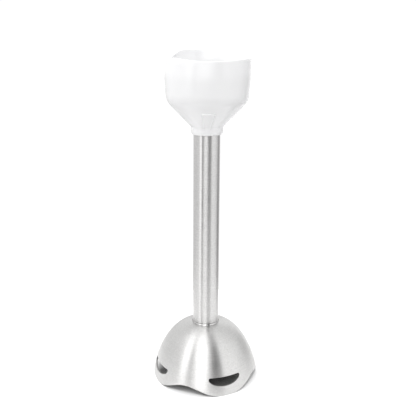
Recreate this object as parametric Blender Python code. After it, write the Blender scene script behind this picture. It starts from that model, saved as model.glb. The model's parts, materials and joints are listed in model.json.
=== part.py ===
"""Blending shaft of an immersion blender, as an assembly of its separate pieces.

The shaft stands on the four lobes of its bell, with its axis on +Z and the lobes at Z = 0.
Sizes are in millimetres and degrees, and the mesh builders turn them into metres.
An azimuth is measured from -Y towards +X. The lobes and vents of the bell lie on the X and Y axes.
"""

import math

import bmesh
import bpy

MM = 0.001

# Clearances
GAP = 0.3                   # between two pieces that seat on or fit into each other
RUNNING_CLEARANCE = 0.08    # round the turning rod, in its bushes and seals

# Bell guard
BELL_HEIGHT = 37.2          # lobe bottoms to the top of the dome
BELL_RADIUS = 34.8          # at the lobes
TROUGH_SPREAD = 0.85        # how much wider the rim is between two lobes
TROUGH_RISE = 6.4           # how high the rim rises between two lobes
TROUGH_POWER = 1.1
LOBES = 4
LOBE_LAND = 5.0             # half angle of the flat land at the bottom of each lobe
SHEET = 1.0
DOME_POWER = 1.574
DOME_ROOT = 0.506
BELL_NECK = 0.7             # height of the drawn neck that the tube is welded to
NECK_FILLET = 0.5
VENT_WIDTH = 22.4
VENT_TOP = 12.0             # flat upper edge, above the lobe bottoms
VENT_DEPTH = 5.75
VENT_CORNER = 1.2

# Tube
TUBE_RADIUS = 8.5
TUBE_WALL = 0.8
TUBE_SHOWN = 125.1          # between the bell's neck and the foot of the cup
FLARE_WIDTH = 2.2
FLARE_THICKNESS = 0.8

# Coupling cup
CUP_RADIUS = 26.5
CUP_WALL = 3.0
CUP_HEIGHT = 44.1           # foot to the lowest point of the rim
CUP_BELLY = 34.0            # foot to the widest level
CUP_RIM_DRAFT = 0.5         # how much the rim draws in above the belly
CUP_NECK_WALL = 1.3
CUP_NECK = 4.9
CUP_NECK_CHAMFER = 1.6      # height of the chamfer at the foot
CUP_NECK_LIP = 0.4          # wall left at the foot
CONE_HEIGHT = 15.6
SHOULDER_DRAFT = 1.1        # how much the shoulder is narrower than the belly
SHOULDER_FILLET = 10.0
SKIN = 2.4                  # wall of the cone
CUP_TURN = -18.0            # azimuth of the cup's front
RIM_SIDE_RISE = 2.2
RIM_LIP_RISE = 5.5
RIM_LIP_START = 108.0       # from the front, where the rim starts to rise to the lip
RIM_LIP_END = 152.0
RIM_LEAN = 0.85             # the outside of the rim leans to one side
RIM_ROUND_HEIGHT = 3.0      # on the other side it is rounded over
RIM_ROUND_DEPTH = 1.4
RIM_BEVEL = 1.0             # how much the bore widens towards the rim
RIM_BEVEL_HEIGHT = 4.0
RIB_TURN = -3.0             # from the cup's front
RIB_HEIGHT = 9.6
RIB_TOP_WIDTH = 7.6
RIB_FOOT_WIDTH = 4.4
RIB_PROUD = 0.9             # at its top end
RIB_FOOT_PROUD = 0.4
RIB_SINK = 0.9              # how far the rib's root lies inside the skin

# Coupling socket inside the cup
LEDGE_RISE = 1.5            # socket's ledge above the corner of the shoulder
SOCKET_FLOOR = 3.5
CLAMP_LENGTH = 3.3          # ring below the socket's floor, which clamps the tube's flare
CLAMP_PLAY = 1.5            # between that ring and the washer inside it
SOCKET_RING_WALL = 2.0
SOCKET_RING_HEIGHT = 11.0
TOWER_WALL = 1.8
TOWER_HEIGHT = 6.5
LUGS = 3
LUG_DEPTH = 1.5
LUG_HEIGHT = 3.5
LUG_ANGLE = 24.0
LUG_DROP = 1.3              # below the top of the ring
LEDGE_WIDTH = 2.9

# Screws between the socket and the cup
SCREWS = 3
SCREW_RADIUS = 1.5
SCREW_HEAD_RADIUS = 2.8
SCREW_HEAD = 1.5
SCREW_SINK = 0.4            # head below the seat
SCREW_TURN = 42.0           # azimuth of the first screw
SCREW_MARGIN = 0.9          # between a screw's recess and the tower
BOSS_RADIUS = 2.8
BOSS_CLEARANCE = 0.7        # between a boss and the tube's flare
BOSS_SKIN = 1.24            # between a boss and the outside of the cone
BOSS_ROOT = 0.4             # how far a boss is rooted in the pocket's floor
BOSS_FLOOR = 1.4            # left under the end of the screw

# Bearings
BUSH_WALL = 1.85
LOWER_BUSH = 12.0
MIDDLE_BUSH = 9.8
UPPER_BUSH = 11.0
UPPER_BUSH_SINK = 0.8       # below the top of its carrier
CARRIER_LIP = 1.6
CARRIER_FLANGE = 2.0
CARRIER_WAIST = 1.0
SPIGOT = 12.1               # bearing housing inside the tube
HOUSING_FLANGE_WIDTH = 3.5  # beyond the tube
HOUSING_FLANGE = 3.0
HOUSING_FLANGE_DROP = 1.0   # below the flat middle of the dome's inside
HOUSING_MOUTH_WALL = 2.0
SEAL_WIDTH = 3.0
SEAL_BODY = 2.0             # radial thickness of the seal's outer body
SEAL_POCKET_RADIUS = 6.0
RETAINER = 0.8
RING_SECTION = 1.5          # thickness of both O-rings
RING_LAND = 4.5             # from the end of a spigot or neck to its O-ring groove

# Turning pieces
ROD_RADIUS = 2.5
THREAD_RADIUS = 2.0
WASHER = 0.75
WASHER_WIDTH = 2.7
CLIP = 0.8
CLIP_DEPTH = 0.6
CLIP_WIDTH = 2.2
CLIP_OPENING = 60.0
CLIP_ROOM = 2.3             # from the clip up to the foot of the coupling
COUPLING_RADIUS = 7.4
COUPLING_LENGTH = 14.3
COUPLING_RECESS = 6.5
COUPLING_TEETH = 6
RECESS_INNER = 3.6
RECESS_OUTER = 5.4
COUPLING_CLEARANCE = 1.0    # between the coupling and the tower round it
CROSS_PIN_RADIUS = 0.8
CROSS_PIN_LEVEL = 3.8       # above the foot of the coupling
CROSS_PIN_TURN = 20.0
BLADE_HEIGHT = 9.5          # middle of the blade above the lobe bottoms
BLADE_RADIUS = 23.5
BLADE_THICKNESS = 1.1
BLADE_ROOT = 5.9            # half width at the middle
BLADE_LEAD = 3.6            # width ahead of the centre line towards the tip
BLADE_TRAIL = 2.8
BLADE_BEND_START = 8.0
BLADE_RAISE = 3.2
BLADE_DROP = 2.2
BLADE_TURN = 50.0
HUB_RADIUS = 4.6
HUB_LENGTH = 4.0
NUT_RADIUS = 4.4
NUT_HEIGHT = 4.0
NUT_FLOOR = 1.1

FINE = 48                   # facets round the bell and the cup
MEDIUM = 32
COARSE = 20

# Radii that follow from the sizes above
TUBE_BORE = TUBE_RADIUS - TUBE_WALL
BELL_NECK_RADIUS = TUBE_BORE + SHEET
SPIGOT_RADIUS = TUBE_BORE - GAP
TUBE_HOLE = TUBE_RADIUS + GAP
FLARE_RADIUS = TUBE_RADIUS + FLARE_WIDTH
CUP_NECK_RADIUS = TUBE_HOLE + CUP_NECK_WALL
CUP_BORE = CUP_RADIUS - CUP_WALL
SHOULDER_RADIUS = CUP_RADIUS - SHOULDER_DRAFT
LEDGE_RADIUS = CUP_BORE - LEDGE_WIDTH
HOUSING_FLANGE_RADIUS = TUBE_RADIUS + HOUSING_FLANGE_WIDTH
SOCKET_RADIUS = CUP_BORE - GAP
TOWER_BORE = COUPLING_RADIUS + COUPLING_CLEARANCE
TOWER_RADIUS = TOWER_BORE + TOWER_WALL
RECESS_RADIUS = SCREW_HEAD_RADIUS + GAP
SCREW_HOLE = SCREW_RADIUS + GAP
SCREW_CIRCLE = max(TOWER_RADIUS + SCREW_MARGIN + RECESS_RADIUS, FLARE_RADIUS + BOSS_CLEARANCE + BOSS_RADIUS)
ROD_HOLE = ROD_RADIUS + GAP
BUSH_BORE = ROD_RADIUS + RUNNING_CLEARANCE
BUSH_RADIUS = BUSH_BORE + BUSH_WALL
BUSH_HOLE = BUSH_RADIUS + GAP
LIP_HOLE = ROD_RADIUS + 2.5 * GAP
SEAL_RADIUS = SEAL_POCKET_RADIUS - GAP
WASHER_RADIUS = ROD_HOLE + WASHER_WIDTH

# Levels, from the blade up to the dome
BLADE_TOP = BLADE_HEIGHT + BLADE_THICKNESS / 2
HUB_FOOT = BLADE_TOP + GAP
LOWER_WASHER_FOOT = HUB_FOOT + HUB_LENGTH + GAP
HOUSING_FOOT = LOWER_WASHER_FOOT + WASHER + GAP
SEAL_FOOT = HOUSING_FOOT + RETAINER + GAP
POCKET_TOP = SEAL_FOOT + SEAL_WIDTH + GAP
LOWER_BUSH_FOOT = POCKET_TOP + CARRIER_LIP + GAP
HOUSING_FLANGE_TOP = BELL_HEIGHT - SHEET - HOUSING_FLANGE_DROP

# Levels, from the dome up to the coupling
BELL_NECK_TOP = BELL_HEIGHT + BELL_NECK
TUBE_FOOT = BELL_NECK_TOP + GAP
CUP_FOOT = BELL_NECK_TOP + TUBE_SHOWN
CONE_FOOT = CUP_FOOT + CUP_NECK
SHOULDER = CONE_FOOT + CONE_HEIGHT
RIM_FRONT = CUP_FOOT + CUP_HEIGHT
LEDGE = SHOULDER + LEDGE_RISE
SOCKET_FOOT = LEDGE + GAP
SEAT = SOCKET_FOOT + SOCKET_FLOOR
CARRIER_TOP = SOCKET_FOOT - CLAMP_LENGTH - GAP
FLARE_TOP = CARRIER_TOP - CARRIER_FLANGE - GAP
FLARE_FOOT = FLARE_TOP - FLARE_THICKNESS
NECK_TUBE_TOP = FLARE_FOOT - GAP
UPPER_BUSH_TOP = CARRIER_TOP - UPPER_BUSH_SINK
UPPER_BUSH_FOOT = UPPER_BUSH_TOP - UPPER_BUSH
UPPER_WASHER_FOOT = CARRIER_TOP + GAP
CLIP_FOOT = UPPER_WASHER_FOOT + WASHER + GAP
COUPLING_FOOT = CLIP_FOOT + CLIP + CLIP_ROOM
COUPLING_TOP = COUPLING_FOOT + COUPLING_LENGTH
ROD_TOP = COUPLING_TOP - COUPLING_RECESS - 2 * GAP
MIDDLE = (BELL_NECK_TOP + CUP_FOOT) / 2

HOUSING = "housing"
DRIVE_TRAIN = "drive_train"


def radians(degrees):
    return math.radians(degrees)


def smooth_step(value, start, end):
    """0 at start, 1 at end, level at both."""
    share = min(max((value - start) / (end - start), 0.0), 1.0)
    return share * share * (3 - 2 * share)


def wrap(degrees):
    """The same azimuth between -180 and 180."""
    return (degrees + 180.0) % 360.0 - 180.0


def place(radius, height, azimuth):
    """A point in metres from a radius, a level and an azimuth in degrees."""
    turn = radians(azimuth)
    return (radius * math.sin(turn) * MM, -radius * math.cos(turn) * MM, height * MM)


def rounded(corners, steps=2):
    """Closed outline in which each corner (x, y, fillet) with a fillet becomes an arc."""
    outline = []
    for index, corner in enumerate(corners):
        if len(corner) == 2:
            outline.append(tuple(corner))
            continue
        x, y, fillet = corner
        before = corners[index - 1]
        after = corners[(index + 1) % len(corners)]
        to_before = math.atan2(before[1] - y, before[0] - x)
        to_after = math.atan2(after[1] - y, after[0] - x)
        opening = (to_after - to_before + math.pi) % (2 * math.pi) - math.pi
        half = abs(opening) / 2
        middle = to_before + opening / 2
        centre_x = x + fillet / math.sin(half) * math.cos(middle)
        centre_y = y + fillet / math.sin(half) * math.sin(middle)
        sweep = math.copysign(math.pi / 2 - half, -opening)
        for step in range(steps + 1):
            turn = middle + math.pi - sweep + 2 * sweep * step / steps
            outline.append((centre_x + fillet * math.cos(turn), centre_y + fillet * math.sin(turn)))
    return outline


def set_parent(obj, body):
    obj.parent = bpy.data.objects[body]
    return obj


def add_object(name, mesh_builder, body):
    """Object from a bmesh, with its faces pointing out, on one of the two bodies."""
    bmesh.ops.recalc_face_normals(mesh_builder, faces=mesh_builder.faces)
    mesh = bpy.data.meshes.new(name)
    mesh_builder.to_mesh(mesh)
    mesh_builder.free()
    mesh.shade_smooth()
    mesh.set_sharp_from_angle(angle=radians(35))
    obj = bpy.data.objects.new(name, mesh)
    bpy.context.collection.objects.link(obj)
    return set_parent(obj, body)


def turn_outline(builder, outline_at, segments, start=0.0, sweep=360.0):
    """Turn a closed (radius, level) outline, which may depend on the azimuth, about the axis."""
    closed = sweep >= 360.0
    count = segments if closed else segments + 1
    rings = []
    for step in range(count):
        azimuth = start + sweep * step / segments
        rings.append([place(radius, height, azimuth) for radius, height in outline_at(azimuth)])
    on_axis = {}
    columns = []
    for ring in rings:
        column = []
        for index, point in enumerate(ring):
            if math.hypot(point[0], point[1]) > 1e-9:
                column.append(builder.verts.new(point))
                continue
            if index not in on_axis:
                on_axis[index] = builder.verts.new(point)
            column.append(on_axis[index])
        columns.append(column)
    following = columns[1:] + columns[:1] if closed else columns[1:]
    for column, neighbour in zip(columns, following):
        for index in range(len(column)):
            corners = [column[index - 1], neighbour[index - 1], neighbour[index], column[index]]
            corners = list(dict.fromkeys(corners))
            if len(corners) > 2:
                builder.faces.new(corners)
    if not closed:
        builder.faces.new(columns[0])
        builder.faces.new(columns[-1][::-1])


def turned(name, outline, body=HOUSING, segments=COARSE, start=0.0, sweep=360.0):
    """Turned solid from one closed outline, or from a function of the azimuth."""
    builder = bmesh.new()
    outline_at = outline if callable(outline) else lambda azimuth: outline
    turn_outline(builder, outline_at, segments, start, sweep)
    return add_object(name, builder, body)


def rectangle(inner, outer, foot, top):
    return [(inner, foot), (outer, foot), (outer, top), (inner, top)]


def extrude_outline(builder, outline, to_point, near, far):
    """Prism between two depths; to_point places (x, y, depth) in metres."""
    near_ring = [builder.verts.new(to_point(x, y, near)) for x, y in outline]
    far_ring = [builder.verts.new(to_point(x, y, far)) for x, y in outline]
    builder.faces.new(near_ring)
    builder.faces.new(far_ring[::-1])
    for index in range(len(outline)):
        quad = [near_ring[index - 1], near_ring[index], far_ring[index], far_ring[index - 1]]
        builder.faces.new(quad)


def make_cutter(obj):
    obj.hide_render = True
    obj.display_type = "WIRE"
    return obj


def combine(obj, tool, operation):
    """Keep a Boolean on the object, and leave its tool out of the model."""
    modifier = obj.modifiers.new(tool.name, "BOOLEAN")
    modifier.operation = operation
    modifier.solver = "EXACT"
    modifier.object = make_cutter(tool)


def columns_on_circle(name, outline, circle, count, first, segments=12):
    """Equal upright turned columns spread round the axis."""
    builder = bmesh.new()
    for index in range(count):
        column = bmesh.new()
        turn_outline(column, lambda azimuth: outline, segments)
        centre = place(circle, 0.0, first + 360.0 * index / count)
        bmesh.ops.translate(column, verts=column.verts, vec=centre)
        piece = bpy.data.meshes.new("column")
        column.to_mesh(piece)
        column.free()
        builder.from_mesh(piece)
        bpy.data.meshes.remove(piece)
    return add_object(name, builder, HOUSING)


def paint(obj, colour, roughness, metallic=0.0):
    """Principled material of the object's own."""
    material = bpy.data.materials.new(obj.name + "_finish")
    material.use_nodes = True
    shader = material.node_tree.nodes["Principled BSDF"]
    shader.inputs["Base Color"].default_value = (*colour, 1.0)
    shader.inputs["Roughness"].default_value = roughness
    shader.inputs["Metallic"].default_value = metallic
    material.diffuse_color = (*colour, 1.0)
    obj.data.materials.append(material)
    return obj


def paint_white(obj):
    return paint(obj, (0.86, 0.86, 0.87), 0.25)


def paint_dark_plastic(obj):
    return paint(obj, (0.05, 0.05, 0.055), 0.45)


def paint_steel(obj, roughness=0.3):
    return paint(obj, (0.62, 0.61, 0.59), roughness, 1.0)


def paint_bronze(obj):
    return paint(obj, (0.55, 0.36, 0.18), 0.4, 1.0)


def paint_rubber(obj):
    return paint(obj, (0.03, 0.03, 0.03), 0.7)


# Bell guard

def from_lobe(azimuth):
    """Angle to the middle of the nearest lobe."""
    pitch = 360.0 / LOBES
    return abs((azimuth + pitch / 2) % pitch - pitch / 2)


def rim_level(azimuth):
    """The rim is flat at the lobes and rises in a soft wave between them."""
    half_pitch = 180.0 / LOBES
    share = max(from_lobe(azimuth) - LOBE_LAND, 0.0) / (half_pitch - LOBE_LAND)
    return TROUGH_RISE * math.sin(share * math.pi / 2) ** (2 * TROUGH_POWER)


def dome_radius(azimuth, share, rim_radius, neck_radius):
    """Radius of the dome at a share of its height, 0 at the lobes and 1 at the neck."""
    round_radius = neck_radius + (rim_radius - neck_radius) * (1 - share ** DOME_POWER) ** DOME_ROOT
    trough = (1 - math.cos(radians(LOBES * azimuth))) / 2
    return round_radius * (1 + TROUGH_SPREAD / BELL_RADIUS * trough * (1 - share))


def dome_curve(azimuth, rim_radius, neck_radius, height, steps=9):
    """Points from the rim up to the neck, closer together towards the flat top."""
    start = rim_level(azimuth) / height
    points = []
    for step in range(steps + 1):
        share = start + (1 - start) * (1 - (1 - step / steps) ** 1.8)
        points.append((dome_radius(azimuth, share, rim_radius, neck_radius), share * height))
    return points


def bell_outline(azimuth):
    outer = dome_curve(azimuth, BELL_RADIUS, BELL_NECK_RADIUS, BELL_HEIGHT)
    inner = dome_curve(azimuth, BELL_RADIUS - SHEET, TUBE_BORE, BELL_HEIGHT - SHEET)
    neck = [
        (BELL_NECK_RADIUS, BELL_HEIGHT, NECK_FILLET),
        (BELL_NECK_RADIUS, BELL_NECK_TOP),
        (TUBE_BORE, BELL_NECK_TOP),
    ]
    return rounded(outer[:-1] + neck + inner[::-1])


def vent_outline(steps=8):
    """D lying on its flat edge, which is uppermost."""
    half = VENT_WIDTH / 2
    curve = []
    for step in range(1, steps):
        turn = math.pi * step / steps
        curve.append((-half * math.cos(turn), VENT_TOP - VENT_DEPTH * math.sin(turn) ** 0.9))
    corners = [(-half, VENT_TOP, VENT_CORNER)] + curve + [(half, VENT_TOP, VENT_CORNER)]
    return rounded(corners)


def make_vent_cutters():
    builder = bmesh.new()
    for index in range(LOBES):
        turn = radians(360.0 * index / LOBES)

        def to_point(across, height, depth):
            x = depth * math.sin(turn) + across * math.cos(turn)
            y = -depth * math.cos(turn) + across * math.sin(turn)
            return (x * MM, y * MM, height * MM)

        extrude_outline(builder, vent_outline(), to_point, BELL_RADIUS * 0.7, BELL_RADIUS * 1.3)
    return add_object("vent_cutters", builder, HOUSING)


def make_bell():
    bell = paint_steel(turned("bell_guard", bell_outline, segments=FINE))
    combine(bell, make_vent_cutters(), "DIFFERENCE")


# Tube

def make_tube():
    outline = [
        (TUBE_BORE, TUBE_FOOT),
        (TUBE_RADIUS, TUBE_FOOT),
        (TUBE_RADIUS, FLARE_FOOT),
        (FLARE_RADIUS, FLARE_FOOT),
        (FLARE_RADIUS, FLARE_TOP),
        (TUBE_BORE, FLARE_TOP),
    ]
    paint_steel(turned("shaft_tube", outline, segments=MEDIUM))


def o_ring(name, circle, level):
    """Rubber ring with a round section."""
    section = []
    for step in range(8):
        turn = 2 * math.pi * step / 8
        radius = RING_SECTION / 2
        section.append((circle + radius * math.cos(turn), level + radius * math.sin(turn)))
    return paint_rubber(turned(name, section))


# Coupling cup

TUBE_RING_LEVEL = NECK_TUBE_TOP - RING_LAND
TUBE_RING_CIRCLE = TUBE_RADIUS + GAP + RING_SECTION / 2
GROOVE_HALF = RING_SECTION / 2 + GAP
CONE_SLOPE = (SHOULDER_RADIUS - CUP_NECK_RADIUS) / CONE_HEIGHT
NECK_TUBE_RADIUS = FLARE_RADIUS + 0.5


def cone_radius(height):
    return CUP_NECK_RADIUS + (height - CONE_FOOT) * CONE_SLOPE


def cone_level(radius):
    return CONE_FOOT + (radius - CUP_NECK_RADIUS) / CONE_SLOPE


def inside_cone(height):
    """Radius of the inside of the cone's skin."""
    return cone_radius(height) - SKIN * math.hypot(1.0, CONE_SLOPE)


POCKET_FLOOR = cone_level(SCREW_CIRCLE + BOSS_RADIUS + BOSS_SKIN)


def cup_section():
    """Outline of the cup at its front, where the rim is lowest."""
    ledge_foot = cone_level(LEDGE_RADIUS + SKIN * math.hypot(1.0, CONE_SLOPE))
    groove = TUBE_RING_CIRCLE + GROOVE_HALF
    corners = [
        (TUBE_HOLE, CUP_FOOT),
        (TUBE_HOLE + CUP_NECK_LIP, CUP_FOOT),
        (CUP_NECK_RADIUS, CUP_FOOT + CUP_NECK_CHAMFER, 0.5),
        (CUP_NECK_RADIUS, CONE_FOOT, 1.5),
        (SHOULDER_RADIUS, SHOULDER, SHOULDER_FILLET),
        (CUP_RADIUS, CUP_FOOT + CUP_BELLY, 40.0),
        (CUP_RADIUS - CUP_RIM_DRAFT * 0.7, RIM_FRONT - RIM_ROUND_HEIGHT),
        (CUP_RADIUS - CUP_RIM_DRAFT * 0.85, RIM_FRONT - RIM_ROUND_HEIGHT / 2),
        (CUP_RADIUS - CUP_RIM_DRAFT, RIM_FRONT, 0.5),
        (CUP_BORE + RIM_BEVEL, RIM_FRONT, 0.3),
        (CUP_BORE, RIM_FRONT - RIM_BEVEL_HEIGHT),
        (CUP_BORE, LEDGE),
        (LEDGE_RADIUS, LEDGE),
        (LEDGE_RADIUS, ledge_foot),
        (inside_cone(POCKET_FLOOR), POCKET_FLOOR),
        (NECK_TUBE_RADIUS, POCKET_FLOOR),
        (NECK_TUBE_RADIUS, NECK_TUBE_TOP),
        (TUBE_HOLE, NECK_TUBE_TOP),
        (TUBE_HOLE, TUBE_RING_LEVEL + GROOVE_HALF),
        (groove, TUBE_RING_LEVEL + GROOVE_HALF),
        (groove, TUBE_RING_LEVEL - GROOVE_HALF),
        (TUBE_HOLE, TUBE_RING_LEVEL - GROOVE_HALF),
    ]
    return rounded(corners)


def cup_rim_level(azimuth):
    """The rim rises a little to both sides, and to a high lip at the back."""
    from_front = abs(wrap(azimuth - CUP_TURN))
    side = RIM_SIDE_RISE * smooth_step(from_front, 0.0, 75.0)
    lip = RIM_LIP_RISE * smooth_step(from_front, RIM_LIP_START, RIM_LIP_END)
    return RIM_FRONT + side + lip


def cup_outline(azimuth):
    """The front section, stretched up to the rim, leaned to one side and rounded over on the other."""
    outline = []
    sideways = math.sin(radians(azimuth - CUP_TURN))
    for radius, height in cup_section():
        share = max(height - SEAT, 0.0) / (RIM_FRONT - SEAT)
        skin = max(radius - CUP_BORE, 0.0) / CUP_WALL
        lean = RIM_LEAN * share ** 2 * sideways
        last = min(max(height - RIM_FRONT + RIM_ROUND_HEIGHT, 0.0) / RIM_ROUND_HEIGHT, 1.0)
        round_over = RIM_ROUND_DEPTH * (1 - math.sqrt(1 - last ** 2)) * smooth_step(-sideways, 0.0, 1.0)
        level = height + share * (cup_rim_level(azimuth) - RIM_FRONT)
        outline.append((radius + skin * (lean - round_over), level))
    return outline


def make_rib():
    """Alignment rib: a tapered pad along the front of the cone."""
    foot = CONE_FOOT - 0.4
    top = foot + RIB_HEIGHT
    builder = bmesh.new()
    rings = []
    for height, width, step in ((foot, RIB_FOOT_WIDTH, RIB_FOOT_PROUD), (top, RIB_TOP_WIDTH, RIB_PROUD)):
        surface = max(cone_radius(height), CUP_NECK_RADIUS)
        proud = surface + step * math.hypot(1.0, CONE_SLOPE)
        sunk = surface - RIB_SINK
        ring = []
        for depth, across in ((sunk, -1), (proud, -0.85), (proud, 0.85), (sunk, 1)):
            ring.append(builder.verts.new((across * width / 2 * MM, -depth * MM, height * MM)))
        rings.append(ring)
    low, high = rings
    builder.faces.new(low)
    builder.faces.new(high[::-1])
    for index in range(4):
        builder.faces.new([low[index - 1], low[index], high[index], high[index - 1]])
    rib = add_object("alignment_rib_shape", builder, HOUSING)
    rib.rotation_euler.z = radians(CUP_TURN + RIB_TURN)
    return rib


def make_cup():
    cup = paint_white(turned("coupling_cup", cup_outline, segments=FINE))
    boss = rectangle(0.0, BOSS_RADIUS, POCKET_FLOOR - BOSS_ROOT, LEDGE)
    hole = rectangle(0.0, SCREW_HOLE, POCKET_FLOOR + BOSS_FLOOR, SEAT)
    combine(cup, make_rib(), "UNION")
    combine(cup, columns_on_circle("boss_shapes", boss, SCREW_CIRCLE, SCREWS, SCREW_TURN), "UNION")
    combine(cup, columns_on_circle("boss_holes", hole, SCREW_CIRCLE, SCREWS, SCREW_TURN), "DIFFERENCE")


# Coupling socket and its screws

def make_lugs():
    """Bayonet lugs that reach in from the socket's ring."""
    top = SEAT + SOCKET_RING_HEIGHT - LUG_DROP
    ring_bore = SOCKET_RADIUS - SOCKET_RING_WALL
    outline = rectangle(ring_bore - LUG_DEPTH, ring_bore + SOCKET_RING_WALL / 2, top - LUG_HEIGHT, top)
    builder = bmesh.new()
    for index in range(LUGS):
        start = CUP_TURN + 360.0 * index / LUGS - LUG_ANGLE / 2
        turn_outline(builder, lambda azimuth: outline, 4, start, LUG_ANGLE)
    return add_object("lug_shapes", builder, HOUSING)


def make_socket():
    """Floor with the seat, a guard tower round the coupling and an outer ring."""
    clamp_foot = CARRIER_TOP + GAP
    clamp_bore = WASHER_RADIUS + CLAMP_PLAY
    ring_bore = SOCKET_RADIUS - SOCKET_RING_WALL
    outline = [
        (clamp_bore, clamp_foot),
        (FLARE_RADIUS, clamp_foot),
        (FLARE_RADIUS, SOCKET_FOOT),
        (SOCKET_RADIUS, SOCKET_FOOT),
        (SOCKET_RADIUS, SEAT + SOCKET_RING_HEIGHT),
        (ring_bore, SEAT + SOCKET_RING_HEIGHT),
        (ring_bore, SEAT),
        (TOWER_RADIUS, SEAT),
        (TOWER_RADIUS, SEAT + TOWER_HEIGHT),
        (TOWER_BORE, SEAT + TOWER_HEIGHT),
        (TOWER_BORE, SOCKET_FOOT),
        (clamp_bore, SOCKET_FOOT),
    ]
    socket = paint_white(turned("coupling_socket", outline, segments=MEDIUM))
    recess_floor = SEAT - SCREW_SINK - SCREW_HEAD - GAP
    hole = [
        (0.0, SOCKET_FOOT - 1.0),
        (SCREW_HOLE, SOCKET_FOOT - 1.0),
        (SCREW_HOLE, recess_floor),
        (RECESS_RADIUS, recess_floor),
        (RECESS_RADIUS, SEAT + 1.0),
        (0.0, SEAT + 1.0),
    ]
    combine(socket, make_lugs(), "UNION")
    combine(socket, columns_on_circle("socket_holes", hole, SCREW_CIRCLE, SCREWS, SCREW_TURN), "DIFFERENCE")


def make_screws():
    """Pan-head screws that stand on their own axes."""
    head_top = SEAT - SCREW_SINK
    head_foot = head_top - SCREW_HEAD
    end = POCKET_FLOOR + BOSS_FLOOR + GAP
    corners = [
        (0.0, end),
        (SCREW_RADIUS * 0.6, end),
        (SCREW_RADIUS, end + 0.8),
        (SCREW_RADIUS, head_foot),
        (SCREW_HEAD_RADIUS, head_foot),
        (SCREW_HEAD_RADIUS, head_top, 0.6),
        (0.0, head_top),
    ]
    outline = rounded(corners)
    for index in range(SCREWS):
        screw = turned(f"socket_screw_{index + 1}", outline, segments=12)
        screw.location = place(SCREW_CIRCLE, 0.0, SCREW_TURN + 360.0 * index / SCREWS)
        paint_steel(screw, 0.35)


# Bearings

def bush(name, foot, length):
    """Sintered bush with small chamfers at both ends of its outside."""
    top = foot + length
    chamfer = 0.3
    outline = [
        (BUSH_BORE, foot),
        (BUSH_RADIUS - chamfer, foot),
        (BUSH_RADIUS, foot + chamfer),
        (BUSH_RADIUS, top - chamfer),
        (BUSH_RADIUS - chamfer, top),
        (BUSH_BORE, top),
    ]
    return paint_bronze(turned(name, outline))


def make_upper_bearing():
    foot = UPPER_BUSH_FOOT - GAP - CARRIER_LIP
    outline = [
        (LIP_HOLE, foot),
        (SPIGOT_RADIUS, foot),
        (SPIGOT_RADIUS, FLARE_TOP + GAP),
        (FLARE_RADIUS, FLARE_TOP + GAP),
        (FLARE_RADIUS, CARRIER_TOP),
        (BUSH_HOLE, CARRIER_TOP),
        (BUSH_HOLE, foot + CARRIER_LIP),
        (LIP_HOLE, foot + CARRIER_LIP),
    ]
    paint_dark_plastic(turned("upper_bearing_carrier", outline))
    bush("upper_bush", UPPER_BUSH_FOOT, UPPER_BUSH)


def make_middle_bearing():
    bush_foot = MIDDLE - MIDDLE_BUSH / 2
    foot = bush_foot - GAP - CARRIER_LIP
    top = bush_foot + MIDDLE_BUSH + GAP
    waist = SPIGOT_RADIUS - CARRIER_WAIST
    outline = [
        (LIP_HOLE, foot),
        (SPIGOT_RADIUS, foot),
        (SPIGOT_RADIUS, foot + 2.5),
        (waist, foot + 3.5),
        (waist, top - 3.5),
        (SPIGOT_RADIUS, top - 2.5),
        (SPIGOT_RADIUS, top),
        (BUSH_HOLE, top),
        (BUSH_HOLE, foot + CARRIER_LIP),
        (LIP_HOLE, foot + CARRIER_LIP),
    ]
    paint_dark_plastic(turned("middle_bearing_carrier", outline))
    bush("middle_bush", bush_foot, MIDDLE_BUSH)


def make_lower_bearing():
    """Hub under the dome, with a spigot up the tube, a bush and a sealed mouth."""
    top = HOUSING_FLANGE_TOP + SPIGOT
    ring_level = top - RING_LAND
    ring_circle = SPIGOT_RADIUS - RING_SECTION / 2
    groove = ring_circle - GROOVE_HALF
    mouth_radius = SEAL_POCKET_RADIUS + HOUSING_MOUTH_WALL
    corners = [
        (SEAL_POCKET_RADIUS, HOUSING_FOOT),
        (mouth_radius, HOUSING_FOOT, 0.6),
        (mouth_radius, POCKET_TOP, 2.0),
        (HOUSING_FLANGE_RADIUS, HOUSING_FLANGE_TOP - HOUSING_FLANGE, 1.5),
        (HOUSING_FLANGE_RADIUS, HOUSING_FLANGE_TOP),
        (SPIGOT_RADIUS, HOUSING_FLANGE_TOP),
        (SPIGOT_RADIUS, ring_level - GROOVE_HALF),
        (groove, ring_level - GROOVE_HALF),
        (groove, ring_level + GROOVE_HALF),
        (SPIGOT_RADIUS, ring_level + GROOVE_HALF),
        (SPIGOT_RADIUS, top),
        (BUSH_HOLE, top),
        (BUSH_HOLE, LOWER_BUSH_FOOT - GAP),
        (LIP_HOLE, LOWER_BUSH_FOOT - GAP),
        (LIP_HOLE, POCKET_TOP),
        (SEAL_POCKET_RADIUS, POCKET_TOP),
    ]
    paint_dark_plastic(turned("bearing_housing", rounded(corners), segments=MEDIUM))
    o_ring("housing_o_ring", ring_circle, ring_level)
    bush("lower_bush", LOWER_BUSH_FOOT, LOWER_BUSH)


def make_lower_seal():
    """Lip seal in the mouth of the housing, and the steel washer that holds it."""
    top = SEAL_FOOT + SEAL_WIDTH
    body_bore = SEAL_RADIUS - SEAL_BODY
    outline = [
        (body_bore, SEAL_FOOT),
        (SEAL_RADIUS, SEAL_FOOT),
        (SEAL_RADIUS, top),
        (BUSH_BORE + 0.8, top),
        (BUSH_BORE, top - 0.9),
        (BUSH_BORE, top - 1.5),
        (body_bore, top - 1.2),
    ]
    paint_rubber(turned("lip_seal", outline))
    washer = rectangle(LIP_HOLE, SEAL_RADIUS, HOUSING_FOOT, HOUSING_FOOT + RETAINER)
    paint_steel(turned("seal_retainer", washer))


# Turning pieces

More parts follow.
